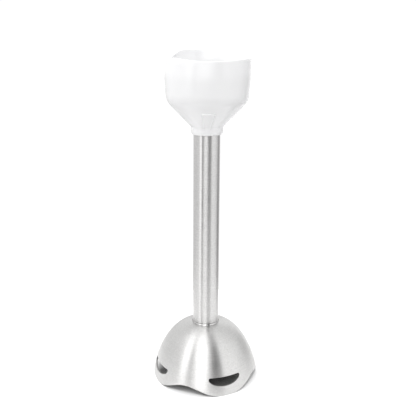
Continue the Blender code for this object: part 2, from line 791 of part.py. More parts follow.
def make_rod():
    """Rod with a thinner threaded foot and a groove for the retaining clip."""
    clip_floor = ROD_RADIUS - CLIP_DEPTH
    foot = BLADE_HEIGHT - BLADE_THICKNESS / 2 - GAP - NUT_HEIGHT + NUT_FLOOR + GAP
    outline = [
        (0.0, foot),
        (THREAD_RADIUS - 0.4, foot),
        (THREAD_RADIUS, foot + 0.4),
        (THREAD_RADIUS, HUB_FOOT),
        (ROD_RADIUS, HUB_FOOT),
        (ROD_RADIUS, CLIP_FOOT - GAP),
        (clip_floor, CLIP_FOOT - GAP),
        (clip_floor, CLIP_FOOT + CLIP + GAP),
        (ROD_RADIUS, CLIP_FOOT + CLIP + GAP),
        (ROD_RADIUS, ROD_TOP - 0.5),
        (ROD_RADIUS - 0.5, ROD_TOP),
        (0.0, ROD_TOP),
    ]
    rod = paint_steel(turned("drive_shaft", outline, DRIVE_TRAIN), 0.25)
    combine(rod, cross_hole("rod_cross_hole"), "DIFFERENCE")


def cross_prism(name, radius, length):
    """Round bar through the axis at the level of the cross pin."""
    level = COUPLING_FOOT + CROSS_PIN_LEVEL
    outline = []
    for step in range(16):
        turn = 2 * math.pi * step / 16
        outline.append((radius * math.cos(turn), level + radius * math.sin(turn)))
    builder = bmesh.new()
    extrude_outline(builder, outline, lambda y, z, x: (x * MM, y * MM, z * MM), -length / 2, length / 2)
    bar = add_object(name, builder, DRIVE_TRAIN)
    bar.rotation_euler.z = radians(CROSS_PIN_TURN)
    return bar


def cross_hole(name):
    return cross_prism(name, CROSS_PIN_RADIUS + GAP, 2.4 * COUPLING_RADIUS)


def recess_outline():
    """Star with rounded flanks, which the motor's dog fits."""
    points = []
    count = COUPLING_TEETH * 6
    for step in range(count):
        turn = 2 * math.pi * step / count
        wave = (1 + math.cos(COUPLING_TEETH * turn)) / 2
        radius = RECESS_INNER + (RECESS_OUTER - RECESS_INNER) * wave ** 0.8
        points.append((radius * math.cos(turn), radius * math.sin(turn)))
    return points


def make_coupling():
    corners = [
        (ROD_HOLE, COUPLING_FOOT),
        (COUPLING_RADIUS, COUPLING_FOOT, 0.6),
        (COUPLING_RADIUS, COUPLING_TOP, 1.0),
        (ROD_HOLE, COUPLING_TOP),
    ]
    coupling = turned("drive_coupling", rounded(corners), DRIVE_TRAIN, MEDIUM)
    paint_dark_plastic(coupling)
    builder = bmesh.new()
    floor = COUPLING_TOP - COUPLING_RECESS
    extrude_outline(
        builder, recess_outline(), lambda x, y, z: (x * MM, y * MM, z * MM), floor, COUPLING_TOP + 1.0
    )
    combine(coupling, add_object("coupling_recess", builder, DRIVE_TRAIN), "DIFFERENCE")
    combine(coupling, cross_hole("coupling_cross_hole"), "DIFFERENCE")
    pin = cross_prism("coupling_pin", CROSS_PIN_RADIUS, 2 * (COUPLING_RADIUS - 0.4))
    paint_steel(pin, 0.3)


def make_upper_retention():
    washer = rectangle(ROD_HOLE, WASHER_RADIUS, UPPER_WASHER_FOOT, UPPER_WASHER_FOOT + WASHER)
    paint_steel(turned("upper_thrust_washer", washer, DRIVE_TRAIN))
    inner = ROD_RADIUS - CLIP_DEPTH + GAP
    clip = rectangle(inner, inner + CLIP_WIDTH, CLIP_FOOT, CLIP_FOOT + CLIP)
    sweep = 360.0 - CLIP_OPENING
    paint_steel(turned("retaining_clip", clip, DRIVE_TRAIN, 28, CLIP_OPENING / 2, sweep), 0.4)


def nut_outline(azimuth):
    """Hexagonal outside, round bore and a closed domed end."""
    top = BLADE_HEIGHT - BLADE_THICKNESS / 2 - GAP
    foot = top - NUT_HEIGHT
    bore = THREAD_RADIUS + GAP
    across = NUT_RADIUS * math.cos(math.pi / 6) / math.cos(radians(azimuth % 60.0 - 30.0))
    corners = [
        (0.0, foot),
        (across, foot, 1.2),
        (across, top),
        (bore, top),
        (bore, foot + NUT_FLOOR),
        (0.0, foot + NUT_FLOOR),
    ]
    return rounded(corners)


def make_blade_stack():
    washer = rectangle(ROD_HOLE, WASHER_RADIUS, LOWER_WASHER_FOOT, LOWER_WASHER_FOOT + WASHER)
    paint_bronze(turned("lower_thrust_washer", washer, DRIVE_TRAIN))
    hub_top = HUB_FOOT + HUB_LENGTH
    hub = [(ROD_HOLE, HUB_FOOT), (HUB_RADIUS, HUB_FOOT), (HUB_RADIUS, hub_top, 0.5), (ROD_HOLE, hub_top)]
    paint_steel(turned("blade_hub", rounded(hub), DRIVE_TRAIN))
    paint_steel(turned("blade_nut", nut_outline, DRIVE_TRAIN, 24))


def blade_station(radius):
    """Ahead, behind, bevel ahead and bend of one wing at a radius from the axis."""
    towards_tip = smooth_step(radius, HUB_RADIUS, HUB_RADIUS + 6.0)
    ahead = BLADE_ROOT + (BLADE_LEAD - BLADE_ROOT) * towards_tip
    behind = BLADE_ROOT + (BLADE_TRAIL - BLADE_ROOT) * towards_tip
    nose = max(radius - (BLADE_RADIUS - 3.0), 0.0) / 3.0
    fullness = math.sqrt(max(1 - (0.9 * nose) ** 2, 0.0))
    bevel = 0.3 + 1.9 * towards_tip
    bend = smooth_step(radius, BLADE_BEND_START, 1.6 * BLADE_RADIUS) / smooth_step(
        BLADE_RADIUS, BLADE_BEND_START, 1.6 * BLADE_RADIUS
    )
    return ahead * fullness, behind * fullness, bevel * fullness, bend


def make_blade(steps=9):
    """Two-winged blade from one strip: one wing rises and the other drops."""
    half = BLADE_THICKNESS / 2
    builder = bmesh.new()
    rings = []
    for step in range(-steps, steps + 1):
        side = -1 if step < 0 else 1
        radius = BLADE_RADIUS * abs(step) / steps
        ahead, behind, bevel, bend = blade_station(radius)
        level = BLADE_HEIGHT + bend * (BLADE_RAISE if side > 0 else -BLADE_DROP)
        section = [
            (ahead, 0.0),
            (ahead - bevel, half),
            (-behind + 0.3, half),
            (-behind, 0.0),
            (-behind + 0.3, -half),
            (ahead - bevel, -half),
        ]
        if side < 0:
            section = [(-across, up) for across, up in section]
            section = [section[index] for index in (3, 2, 1, 0, 5, 4)]
        x = side * radius * MM
        rings.append([builder.verts.new((x, across * MM, (level + up) * MM)) for across, up in section])
    for ring, following in zip(rings, rings[1:]):
        for index in range(len(ring)):
            builder.faces.new([ring[index - 1], ring[index], following[index], following[index - 1]])
    builder.faces.new(rings[0])
    builder.faces.new(rings[-1][::-1])
    blade = paint_steel(add_object("blade", builder, DRIVE_TRAIN), 0.2)
    blade.rotation_euler.z = radians(BLADE_TURN)
    hole = rectangle(0.0, THREAD_RADIUS + GAP, BLADE_HEIGHT - 5.0, BLADE_HEIGHT + 5.0)
    combine(blade, turned("blade_hole", hole, DRIVE_TRAIN), "DIFFERENCE")


def main():
    for obj in list(bpy.data.objects):
        bpy.data.objects.remove(obj, do_unlink=True)
    for body in (HOUSING, DRIVE_TRAIN):
        bpy.context.collection.objects.link(bpy.data.objects.new(body, None))
    make_bell()
    make_tube()
    make_cup()
    make_socket()
    make_screws()
    o_ring("tube_o_ring", TUBE_RING_CIRCLE, TUBE_RING_LEVEL)
    make_upper_bearing()
    make_middle_bearing()
    make_lower_bearing()
    make_lower_seal()
    make_rod()
    make_coupling()
    make_upper_retention()
    make_blade_stack()
    make_blade()


main()
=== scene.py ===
"""Looks of the blending shaft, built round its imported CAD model.

The CAD bodies and nodes are the frame. Fine pieces stand in for most of the CAD nodes. The bushes, carriers,
O-rings, pin and clip keep their meshes and get a finish. Sizes are in millimetres and degrees unless a name
says otherwise.
An azimuth is measured from -Y towards +X. Levels and outer radii come from the boxes of the CAD nodes.
"""

import json
import math

import bmesh
import bpy
from mathutils import Matrix, Vector


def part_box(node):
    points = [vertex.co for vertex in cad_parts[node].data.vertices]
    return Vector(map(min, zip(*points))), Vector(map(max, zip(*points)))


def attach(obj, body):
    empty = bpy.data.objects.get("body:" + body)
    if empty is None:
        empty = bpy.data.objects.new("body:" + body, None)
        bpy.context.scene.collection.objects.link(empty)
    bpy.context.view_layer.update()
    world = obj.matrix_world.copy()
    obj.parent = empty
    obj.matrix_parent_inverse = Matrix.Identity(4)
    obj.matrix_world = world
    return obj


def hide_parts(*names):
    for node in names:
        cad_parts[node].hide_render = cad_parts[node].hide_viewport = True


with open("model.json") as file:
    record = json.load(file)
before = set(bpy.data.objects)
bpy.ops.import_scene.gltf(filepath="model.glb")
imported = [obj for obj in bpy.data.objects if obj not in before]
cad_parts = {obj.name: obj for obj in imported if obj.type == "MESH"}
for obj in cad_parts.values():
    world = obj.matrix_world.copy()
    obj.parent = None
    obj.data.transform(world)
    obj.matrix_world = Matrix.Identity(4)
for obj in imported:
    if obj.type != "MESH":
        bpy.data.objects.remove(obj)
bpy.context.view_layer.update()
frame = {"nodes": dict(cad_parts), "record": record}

MM = 0.001
HOUSING = "housing"
DRIVE_TRAIN = "drive_train"
GAP = 0.3                   # between pieces that seat on each other
BLADE_TURN = 50.0           # of the blade at rest, from +X

# Camera, in the frame's own directions
CAMERA_AZIMUTH = -22.94
CAMERA_DISTANCE = 364.3     # from the axis, level
CAMERA_HEIGHT = 203.6
CAMERA_TILT = 13.61         # down from level
CAMERA_YAW = 0.155          # to the right of the axis
CAMERA_ROLL = 0.436
SENSOR_WIDTH = 36.0
LENS = 50.17


def radians(degrees):
    return math.radians(degrees)


def smooth_step(value, start, end):
    """0 at start, 1 at end, level at both."""
    share = min(max((value - start) / (end - start), 0.0), 1.0)
    return share * share * (3 - 2 * share)


def wrap(degrees):
    """The same azimuth between -180 and 180."""
    return (degrees + 180.0) % 360.0 - 180.0


def place(radius, height, azimuth):
    """A point in metres from a radius, a level and an azimuth."""
    turn = radians(azimuth)
    return Vector((radius * math.sin(turn) * MM, -radius * math.cos(turn) * MM, height * MM))


def node_size(node):
    """Outer radius, foot and top of a CAD node that stands on the axis."""
    low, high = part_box(node)
    return high.x / MM, low.z / MM, high.z / MM


# Outlines

def rounded(corners, steps=6):
    """Closed outline in which each corner (x, y, fillet) with a fillet becomes an arc."""
    outline = []
    for index, corner in enumerate(corners):
        if len(corner) == 2:
            outline.append(tuple(corner))
            continue
        x, y, fillet = corner
        before = corners[index - 1]
        after = corners[(index + 1) % len(corners)]
        to_before = math.atan2(before[1] - y, before[0] - x)
        to_after = math.atan2(after[1] - y, after[0] - x)
        opening = (to_after - to_before + math.pi) % (2 * math.pi) - math.pi
        half = abs(opening) / 2
        middle = to_before + opening / 2
        centre_x = x + fillet / math.sin(half) * math.cos(middle)
        centre_y = y + fillet / math.sin(half) * math.sin(middle)
        sweep = math.copysign(math.pi / 2 - half, -opening)
        for step in range(steps + 1):
            turn = middle + math.pi - sweep + 2 * sweep * step / steps
            outline.append((centre_x + fillet * math.cos(turn), centre_y + fillet * math.sin(turn)))
    return outline


def divided(outline, longest):
    """The same closed outline with points added so that no side is longer than a length."""
    points = []
    for start, end in zip(outline, outline[1:] + outline[:1]):
        count = max(math.ceil(math.dist(start, end) / longest), 1)
        for step in range(count):
            share = step / count
            points.append((start[0] + share * (end[0] - start[0]), start[1] + share * (end[1] - start[1])))
    return points


def box_outline(inner, outer, foot, top, fillet):
    corners = [(inner, foot), (outer, foot), (outer, top), (inner, top)]
    return rounded([(*corner, fillet) for corner in corners], 4) if fillet else corners


# Meshes

def smooth(mesh, angle):
    """Smooth apart from edges sharper than an angle."""
    mesh.shade_smooth()
    mesh.set_sharp_from_angle(angle=radians(angle))


def smooth_object(name, builder, angle=35.0):
    bmesh.ops.recalc_face_normals(builder, faces=builder.faces)
    mesh = bpy.data.meshes.new(name)
    builder.to_mesh(mesh)
    builder.free()
    smooth(mesh, angle)
    obj = bpy.data.objects.new(name, mesh)
    bpy.context.scene.collection.objects.link(obj)
    return obj


def turn_outline(builder, outline_at, azimuths, closed=True):
    """Turn a closed outline of (radius, level) through azimuths; the outline may depend on the azimuth."""
    on_axis = {}
    columns = []
    for azimuth in azimuths:
        column = []
        for index, (radius, height) in enumerate(outline_at(azimuth)):
            if abs(radius) > 1e-6:
                column.append(builder.verts.new(place(radius, height, azimuth)))
                continue
            if index not in on_axis:
                on_axis[index] = builder.verts.new(place(0.0, height, 0.0))
            column.append(on_axis[index])
        columns.append(column)
    following = columns[1:] + columns[:1] if closed else columns[1:]
    for column, neighbour in zip(columns, following):
        for index in range(len(column)):
            corners = [column[index - 1], neighbour[index - 1], neighbour[index], column[index]]
            corners = list(dict.fromkeys(corners))
            if len(corners) > 2:
                builder.faces.new(corners)
    if not closed:
        builder.faces.new(columns[0])
        builder.faces.new(columns[-1][::-1])


def even(count, start=0.0, sweep=360.0):
    """Azimuths spread evenly over a sweep; a full turn leaves out the last one."""
    last = count if sweep >= 360.0 else count - 1
    return [start + sweep * step / last for step in range(count)]


def turned(name, outline, segments=96):
    builder = bmesh.new()
    turn_outline(builder, lambda azimuth: outline, even(segments))
    return smooth_object(name, builder)


def prism(name, outline, to_point, near, far):
    """Prism between two depths; to_point places (x, y, depth) in metres."""
    builder = bmesh.new()
    near_ring = [builder.verts.new(to_point(x, y, near)) for x, y in outline]
    far_ring = [builder.verts.new(to_point(x, y, far)) for x, y in outline]
    builder.faces.new(near_ring)
    builder.faces.new(far_ring[::-1])
    for index in range(len(outline)):
        builder.faces.new([near_ring[index - 1], near_ring[index], far_ring[index], far_ring[index - 1]])
    return smooth_object(name, builder)


def upright(x, y, depth):
    """Place a prism's outline level, with its depth along the axis."""
    return Vector((x, y, depth)) * MM


def combine(obj, tool, operation):
    modifier = obj.modifiers.new(tool.name, "BOOLEAN")
    modifier.operation = operation
    modifier.solver = "EXACT"
    modifier.object = tool
    tool.hide_render = True


def settle(obj, angle=35.0):
    """Keep what the modifiers make of an object, and drop them with their tools."""
    tools = [modifier.object for modifier in obj.modifiers if modifier.type == "BOOLEAN"]
    graph = bpy.context.evaluated_depsgraph_get()
    mesh = bpy.data.meshes.new_from_object(obj.evaluated_get(graph))
    obj.modifiers.clear()
    obj.data = mesh
    for tool in tools:
        bpy.data.objects.remove(tool)
    smooth(mesh, angle)
    return obj


def bevel(obj, width):
    modifier = obj.modifiers.new("edges", "BEVEL")
    modifier.width = width * MM
    modifier.segments = 3
    modifier.limit_method = "ANGLE"
    modifier.angle_limit = radians(40.0)
    modifier.harden_normals = False


def stand_for(obj, node, body, material):
    """The piece takes the place of a CAD node, rides on its body and wears a finish."""
    obj.data.materials.clear()
    obj.data.materials.append(material)
    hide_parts(node)
    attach(obj, body)
    return obj


# Finishes

INSIDE_START = -0.1         # cosine to the way outwards where a piece's inside, with its painted shade, begins
INSIDE_FULL = -0.3


def put(tree, value, socket):
    """Link a socket, or give it a value of its own."""
    if isinstance(value, bpy.types.NodeSocket):
        tree.links.new(value, socket)
    else:
        socket.default_value = value


def add_node(tree, kind, inputs=None, **settings):
    node = tree.nodes.new(kind)
    for name, value in settings.items():
        setattr(node, name, value)
    for name, value in (inputs or {}).items():
        put(tree, value, node.inputs[name])
    return node


class Finish:
    """A Principled material, with short ways to add nodes and join them."""

    def __init__(self, name, colour, roughness, metallic=0.0):
        self.material = bpy.data.materials.new(name)
        self.material.use_nodes = True
        self.tree = self.material.node_tree
        self.shader = self.tree.nodes["Principled BSDF"]
        self.set(**{"Base Color": (*colour, 1.0), "Roughness": roughness, "Metallic": metallic})

    def set(self, **values):
        for name, value in values.items():
            self.put(value, self.shader.inputs[name])

    def put(self, value, socket):
        put(self.tree, value, socket)

    def add(self, kind, inputs=None, **settings):
        return add_node(self.tree, kind, inputs, **settings)

    def math(self, operation, *values):
        return self.add("ShaderNodeMath", dict(enumerate(values)), operation=operation).outputs[0]

    def point(self):
        return self.add("ShaderNodeTexCoord").outputs["Object"]

    def noise(self, vector, scale, detail=3.0, w=None):
        inputs = {"Vector": vector, "Scale": scale, "Detail": detail, "Roughness": 0.5}
        if w is None:
            return self.add("ShaderNodeTexNoise", inputs).outputs["Fac"]
        return self.add("ShaderNodeTexNoise", {**inputs, "W": w}, noise_dimensions="4D").outputs["Fac"]

    def spread(self, value, low, high, start=0.3, end=0.7):
        """Noise stretched from its usual span to a wanted one."""
        inputs = {"Value": value, "From Min": start, "From Max": end, "To Min": low, "To Max": high}
        return self.add("ShaderNodeMapRange", inputs).outputs["Result"]

    def mix(self, share, first, second):
        node = self.add("ShaderNodeMix", data_type="RGBA")
        self.put(share, node.inputs["Factor"])
        self.put((*first, 1.0), node.inputs["A"])
        self.put((*second, 1.0), node.inputs["B"])
        return node.outputs["Result"]

    def blend(self, noise, first, second):
        """Colour between two, by a noise over its usual span."""
        return self.mix(self.spread(noise, 0.0, 1.0), first, second)

    def bump(self, height, depth):
        inputs = {"Height": height, "Distance": depth * MM, "Strength": 1.0}
        self.set(Normal=self.add("ShaderNodeBump", inputs).outputs["Normal"])

    def inside_shade_mask(self):
        """1 on surfaces that face the axis, 0 on those that face away from it; it places the painted shade
        of the inside.
        """
        coordinates = self.add("ShaderNodeTexCoord").outputs
        level = self.add("ShaderNodeVectorMath", {0: coordinates["Object"], 1: (1.0, 1.0, 0.0)},
                         operation="MULTIPLY")
        away = self.add("ShaderNodeVectorMath", {0: level.outputs[0]}, operation="NORMALIZE")
        facing = self.add("ShaderNodeVectorMath", {0: away.outputs[0], 1: coordinates["Normal"]},
                          operation="DOT_PRODUCT")
        return self.spread(facing.outputs["Value"], 0.0, 1.0, INSIDE_START, INSIDE_FULL)

    def ring_lines(self, spacing, length):
        """Noise in lines round the axis, with a spacing and a length in millimetres at 10 mm from it."""
        split = self.add("ShaderNodeSeparateXYZ", {0: self.point()}).outputs
        squares = [self.math("POWER", split[0], 2.0), self.math("POWER", split[1], 2.0)]
        radius = self.math("SQRT", self.math("ADD", *squares))
        across = 1.0 / (spacing * MM)
        along = 10.0 / length
        rings = {
            0: self.math("MULTIPLY", radius, across),
            1: self.math("MULTIPLY", self.math("DIVIDE", split[0], radius), along),
            2: self.math("MULTIPLY", self.math("DIVIDE", split[1], radius), along),
        }
        vector = self.add("ShaderNodeCombineXYZ", rings).outputs[0]
        return self.noise(vector, 1.0, 2.0, w=self.math("MULTIPLY", split[2], across))


INSIDE_PAINTED_SHADE = (0.30, 0.297, 0.29)        # painted shade: darker steel colour on the inside of drawn pieces, where shade falls
HAIRLINES = (0.22, 12.0)                # spacing and length of the brushed lines
SCRATCHES = (0.35, 5.0)
SPECKS = 1100.0
DARK_SPECK = 0.84                       # share of the steel's own colour
LIGHT_SPECK = 1.07
LINE_ROUGHNESS = 0.01
TOOL_RINGS = (0.12, 40.0)


def brushed_steel(name, colour, roughness, depth, smudge):
    """Steel brushed round its axis, with scratches, specks and faint smudges outside, and a painted shade
    that darkens its inside.
    """
    finish = Finish(name, colour, roughness, 1.0)
    hairlines = finish.ring_lines(*HAIRLINES)
    scratches = finish.ring_lines(*SCRATCHES)
    specks = finish.noise(finish.point(), SPECKS, 3.0)
    clouds = finish.noise(finish.point(), 60.0, 4.0)
    scratched = finish.math("MULTIPLY", scratches, 0.4)
    lines = finish.math("MULTIPLY_ADD", hairlines, 0.6, scratched)
    grain = finish.math("MULTIPLY_ADD", specks, 0.6, scratched)
    streaks = finish.spread(lines, -LINE_ROUGHNESS, LINE_ROUGHNESS)
    rough = finish.math("ADD", streaks, finish.spread(clouds, -smudge, smudge))
    dark = tuple(DARK_SPECK * part for part in colour)
    light = tuple(LIGHT_SPECK * part for part in colour)
    outside = finish.blend(grain, dark, light)
    # painted shade: faces towards the axis take the darker inside colour in place of the brushed steel
    steel_with_painted_shade = finish.add("ShaderNodeMix", {"Factor": finish.inside_shade_mask()}, data_type="RGBA")
    finish.put(outside, steel_with_painted_shade.inputs["A"])
    finish.put((*INSIDE_PAINTED_SHADE, 1.0), steel_with_painted_shade.inputs["B"])
    tangent = finish.add("ShaderNodeTangent", direction_type="RADIAL", axis="Z")
    finish.set(**{
        "Base Color": steel_with_painted_shade.outputs["Result"],
        "Roughness": finish.math("ADD", rough, roughness),
        "Anisotropic": 0.92,
        "Anisotropic Rotation": 0.25,
        "Tangent": tangent.outputs[0],
    })
    finish.bump(lines, depth)
    return finish.material


def turned_steel(name, colour=(0.56, 0.56, 0.57), roughness=0.3):
    """Small turned steel parts, with fine tool rings."""
    finish = Finish(name, colour, roughness, 1.0)
    rings = finish.ring_lines(*TOOL_RINGS)
    clouds = finish.noise(finish.point(), 300.0)
    rough = finish.math("ADD", finish.spread(rings, -0.06, 0.06), finish.spread(clouds, -0.04, 0.06))
    finish.set(Roughness=finish.math("ADD", rough, roughness))
    finish.bump(rings, 0.006)
    return finish.material


def ground_steel(name):
    """Blade steel, ground in fine strokes."""
    finish = Finish(name, (0.62, 0.62, 0.63), 0.22, 1.0)
    stretch = finish.add("ShaderNodeMapping", {
        "Vector": finish.point(),
        "Rotation": (0.0, 0.0, radians(-BLADE_TURN)),
        "Scale": (4000.0, 250.0, 4000.0),
    })
    strokes = finish.noise(stretch.outputs[0], 1.0, 2.0)
    clouds = finish.noise(finish.point(), 150.0)
    rough = finish.math("ADD", finish.spread(strokes, -0.07, 0.07), finish.spread(clouds, -0.04, 0.04))
    finish.set(Roughness=finish.math("ADD", rough, 0.24))
    finish.bump(strokes, 0.008)
    return finish.material


def white_plastic():
    """Glossy moulded white plastic with a very slight ripple and a faint cloudiness."""
    finish = Finish("white_plastic_gloss", (0.90, 0.90, 0.915), 0.2)
    ripple = finish.noise(finish.point(), 220.0, 2.0)
    grain = finish.noise(finish.point(), 2500.0, 2.0)
    clouds = finish.noise(finish.point(), 35.0, 4.0)
    finish.set(**{
        "Base Color": finish.blend(clouds, (0.875, 0.875, 0.882), (0.90, 0.90, 0.907)),
        "Roughness": finish.spread(finish.noise(finish.point(), 90.0, 5.0), 0.16, 0.27),
        "Subsurface Weight": 0.3,
        "Subsurface Radius": (0.004, 0.004, 0.004),
        "Coat Weight": 0.15,
        "Coat Roughness": 0.08,
    })
    height = finish.math("ADD", finish.math("MULTIPLY", ripple, 0.8), finish.math("MULTIPLY", grain, 0.06))
    finish.bump(height, 0.02)
    return finish.material


def dark_plastic():
    """Satin black plastic with a fine moulded grain."""
    finish = Finish("dark_plastic_satin", (0.035, 0.036, 0.04), 0.42)
    grain = finish.noise(finish.point(), 3200.0, 2.0)
    clouds = finish.noise(finish.point(), 120.0, 4.0)
    finish.set(**{
        "Base Color": finish.blend(clouds, (0.028, 0.029, 0.033), (0.045, 0.046, 0.05)),
        "Roughness": finish.spread(clouds, 0.36, 0.5),
    })
    finish.bump(grain, 0.015)
    return finish.material


def sintered_bronze():
    """Pressed bronze powder: small pores and patches of warmer colour."""
    finish = Finish("sintered_bronze", (0.55, 0.36, 0.18), 0.45, 1.0)
    cells = finish.add("ShaderNodeTexVoronoi", {"Vector": finish.point(), "Scale": 2600.0})
    pores = cells.outputs["Distance"]
    patches = finish.noise(finish.point(), 500.0, 4.0)
    finish.set(**{
        "Base Color": finish.blend(patches, (0.42, 0.25, 0.11), (0.62, 0.42, 0.22)),
        "Roughness": finish.spread(pores, 0.6, 0.38, 0.0, 0.5),
    })
    finish.bump(pores, 0.03)
    return finish.material


def black_rubber():
    """Moulded rubber, matt with a fine bloom."""
    finish = Finish("black_rubber", (0.022, 0.022, 0.023), 0.7)
    bloom = finish.noise(finish.point(), 400.0, 5.0)
    finish.set(**{
        "Base Color": finish.blend(bloom, (0.016, 0.016, 0.017), (0.04, 0.04, 0.041)),
        "Roughness": finish.spread(bloom, 0.6, 0.82),
        "Sheen Weight": 0.15,
    })
    finish.bump(finish.noise(finish.point(), 4000.0, 2.0), 0.012)
    return finish.material


WHITE = white_plastic()
DARK = dark_plastic()
BRONZE = sintered_bronze()
RUBBER = black_rubber()
TUBE_STEEL = brushed_steel("tube_steel_brushed", (0.71, 0.705, 0.70), 0.34, 0.006, 0.03)
BELL_STEEL = brushed_steel("bell_steel_brushed", (0.64, 0.637, 0.63), 0.34, 0.006, 0.04)
BLADE_STEEL = ground_steel("blade_steel_ground")
TURNED_STEEL = turned_steel("hardware_steel_turned")
TURNED_BLADE = turned_steel("blade_steel_turned", (0.62, 0.62, 0.63), 0.25)


# Bell guard, on the same rules as the CAD's

LOBES = 4
LOBE_LAND = 5.0
TROUGH_SPREAD = 0.85
TROUGH_RISE = 6.4
TROUGH_POWER = 1.1
SHEET = 1.0
TUBE_WALL = 0.8
DOME_POWER = 1.574
DOME_ROOT = 0.506
BELL_NECK = 0.7
RIM_FILLET = 0.4
VENT_WIDTH = 22.4
VENT_TOP = 12.0
VENT_DEPTH = 5.75
VENT_CORNER = 1.2
VENT_FULLNESS = 0.9         # below 1, the D is fuller than half an ellipse
FLARE_WIDTH = 2.2
CREASE_WIDTH = 0.03         # crease where the drawn neck meets the dome
CREASE_DEPTH = 0.4
CREASE_SLOPE = 0.25
NECK_CHAMFER = 0.3
DOME_CROWDING = 1.8         # above 1, the dome's points crowd towards its flat top
BELL_COLUMNS = 360


def from_lobe(azimuth):
    """Angle to the middle of the nearest lobe."""
    pitch = 360.0 / LOBES
    return abs((azimuth + pitch / 2) % pitch - pitch / 2)


def bell_rim_level(azimuth):
    half_pitch = 180.0 / LOBES
    share = max(from_lobe(azimuth) - LOBE_LAND, 0.0) / (half_pitch - LOBE_LAND)
    return TROUGH_RISE * math.sin(share * math.pi / 2) ** (2 * TROUGH_POWER)


def dome_curve(azimuth, rim_radius, neck_radius, height, steps=56):
    """Points from the rim up to the neck, closer together towards the flat top."""
    start = bell_rim_level(azimuth) / height
    trough = (1 - math.cos(radians(LOBES * azimuth))) / 2
    points = []
    for step in range(steps + 1):
        share = start + (1 - start) * (1 - (1 - step / steps) ** DOME_CROWDING)
        round_radius = neck_radius + (rim_radius - neck_radius) * (1 - share ** DOME_POWER) ** DOME_ROOT
        radius = round_radius * (1 + TROUGH_SPREAD / rim_radius * trough * (1 - share))
        points.append((radius, share * height))
    return points


def bell_outline(azimuth, bell_radius, neck_top, tube_radius):
    """Outline with the same number of points at every azimuth, which is counted over a lobe."""
    bore = tube_radius - TUBE_WALL
    neck_radius = bore + SHEET
    dome_top = neck_top - BELL_NECK
    outer = dome_curve(azimuth, bell_radius, neck_radius, dome_top)
    inner = dome_curve(azimuth, bell_radius - SHEET, bore, dome_top - SHEET)
    crease = neck_radius + CREASE_WIDTH
    at_lobe = dome_curve(0.0, bell_radius, neck_radius, dome_top)
    outer = outer[:sum(radius > crease + CREASE_SLOPE for radius, _ in at_lobe)]
    neck = [
        (crease + CREASE_SLOPE, dome_top, CREASE_SLOPE * 0.5),
        (crease, dome_top - CREASE_DEPTH, 0.1),
        (tube_radius + 0.02, neck_top - NECK_CHAMFER),
        (tube_radius - NECK_CHAMFER, neck_top),
        (bore, neck_top),
    ]
    rim_outer = (*outer[0], RIM_FILLET)
    rim_inner = (*inner[0], RIM_FILLET)
    return rounded([rim_outer] + outer[2:] + neck + inner[:1:-1] + [rim_inner], 4)


def vent_outline(steps=36):
    """D lying on its flat edge, which is uppermost."""
    half = VENT_WIDTH / 2
    corners = [(-half, VENT_TOP, VENT_CORNER), (half, VENT_TOP, VENT_CORNER)]
    curve = []
    for step in range(1, steps):
        turn = math.pi * step / steps
        point = (-half * math.cos(turn), VENT_TOP - VENT_DEPTH * math.sin(turn) ** VENT_FULLNESS)
        if min(math.dist(point, corner[:2]) for corner in corners) > 1.5 * VENT_CORNER:
            curve.append(point)
    return rounded([corners[0]] + curve + [corners[1]])


def vent_cutter(index, bell_radius):
    turn = radians(360.0 * index / LOBES)

    def to_point(across, height, depth):
        x = depth * math.sin(turn) + across * math.cos(turn)
        y = -depth * math.cos(turn) + across * math.sin(turn)
        return Vector((x * MM, y * MM, height * MM))

    return prism(f"vent_shape_{index}", vent_outline(), to_point, bell_radius * 0.7, bell_radius * 1.3)


def make_bell(tube_radius):
    bell_radius, _, neck_top = node_size("bell_guard")
    builder = bmesh.new()
    turn_outline(builder, lambda azimuth: bell_outline(azimuth, bell_radius, neck_top, tube_radius),
                 even(BELL_COLUMNS))
    bell = smooth_object("bell_shell", builder)
    for index in range(LOBES):
        combine(bell, vent_cutter(index, bell_radius), "DIFFERENCE")
    stand_for(settle(bell), "bell_guard", HOUSING, BELL_STEEL)


# Tube

def make_tube():
    """Returns the tube's outer radius, which its neighbours need."""
    flare_radius, foot, top = node_size("shaft_tube")
    radius = flare_radius - FLARE_WIDTH
    bore = radius - TUBE_WALL
    flare_foot = top - TUBE_WALL
    outline = rounded([
        (bore, foot),
        (radius, foot, 0.2),
        (radius, flare_foot, 0.5),
        (flare_radius, flare_foot, 0.2),
        (flare_radius, top, 0.2),
        (bore, top, 0.4),
    ])
    tube = turned("tube_skin", divided(outline, 3.0), 128)
    stand_for(tube, "shaft_tube", HOUSING, TUBE_STEEL)
    return radius


# Coupling cup, on the same rules as the CAD's

CUP_TURN = -18.0
CUP_WALL = 3.0
CUP_HEIGHT = 44.1
CUP_BELLY = 34.0
CUP_RIM_DRAFT = 0.5
CUP_NECK_WALL = 1.3
CUP_NECK = 4.9
CUP_NECK_CHAMFER = 1.6
CUP_NECK_LIP = 0.4
CONE_HEIGHT = 15.6
SHOULDER_DRAFT = 1.1
SHOULDER_FILLET = 10.0
CUP_RADIUS = 26.5
RIM_SIDE_RISE = 2.2
RIM_LIP_RISE = 5.5
RIM_LIP_START = 108.0
RIM_LIP_END = 152.0
RIM_LEAN = 0.85
RIM_ROUND_HEIGHT = 3.0
RIM_ROUND_DEPTH = 1.4
RIM_BEVEL = 1.0             # how much the bore widens towards the rim
RIM_BEVEL_HEIGHT = 4.0
RIB_TURN = -3.0
RIB_HEIGHT = 9.6
RIB_HALF_ANGLE = 11.8
RIB_PROUD = 0.9
RIB_FOOT_PROUD = 0.4
RIB_EDGE = 1.1              # width of the slope round the rib
RIB_TOP_DROP = 0.4
RIB_TOP_PLAY = 0.2
RIB_FADE = 1.2              # below the cone's foot, where the rib runs out
RIB_REACH = 2.0             # above the rib's top, where the rib is past
LEDGE_WIDTH = 2.9
LEDGE_RISE = 1.5
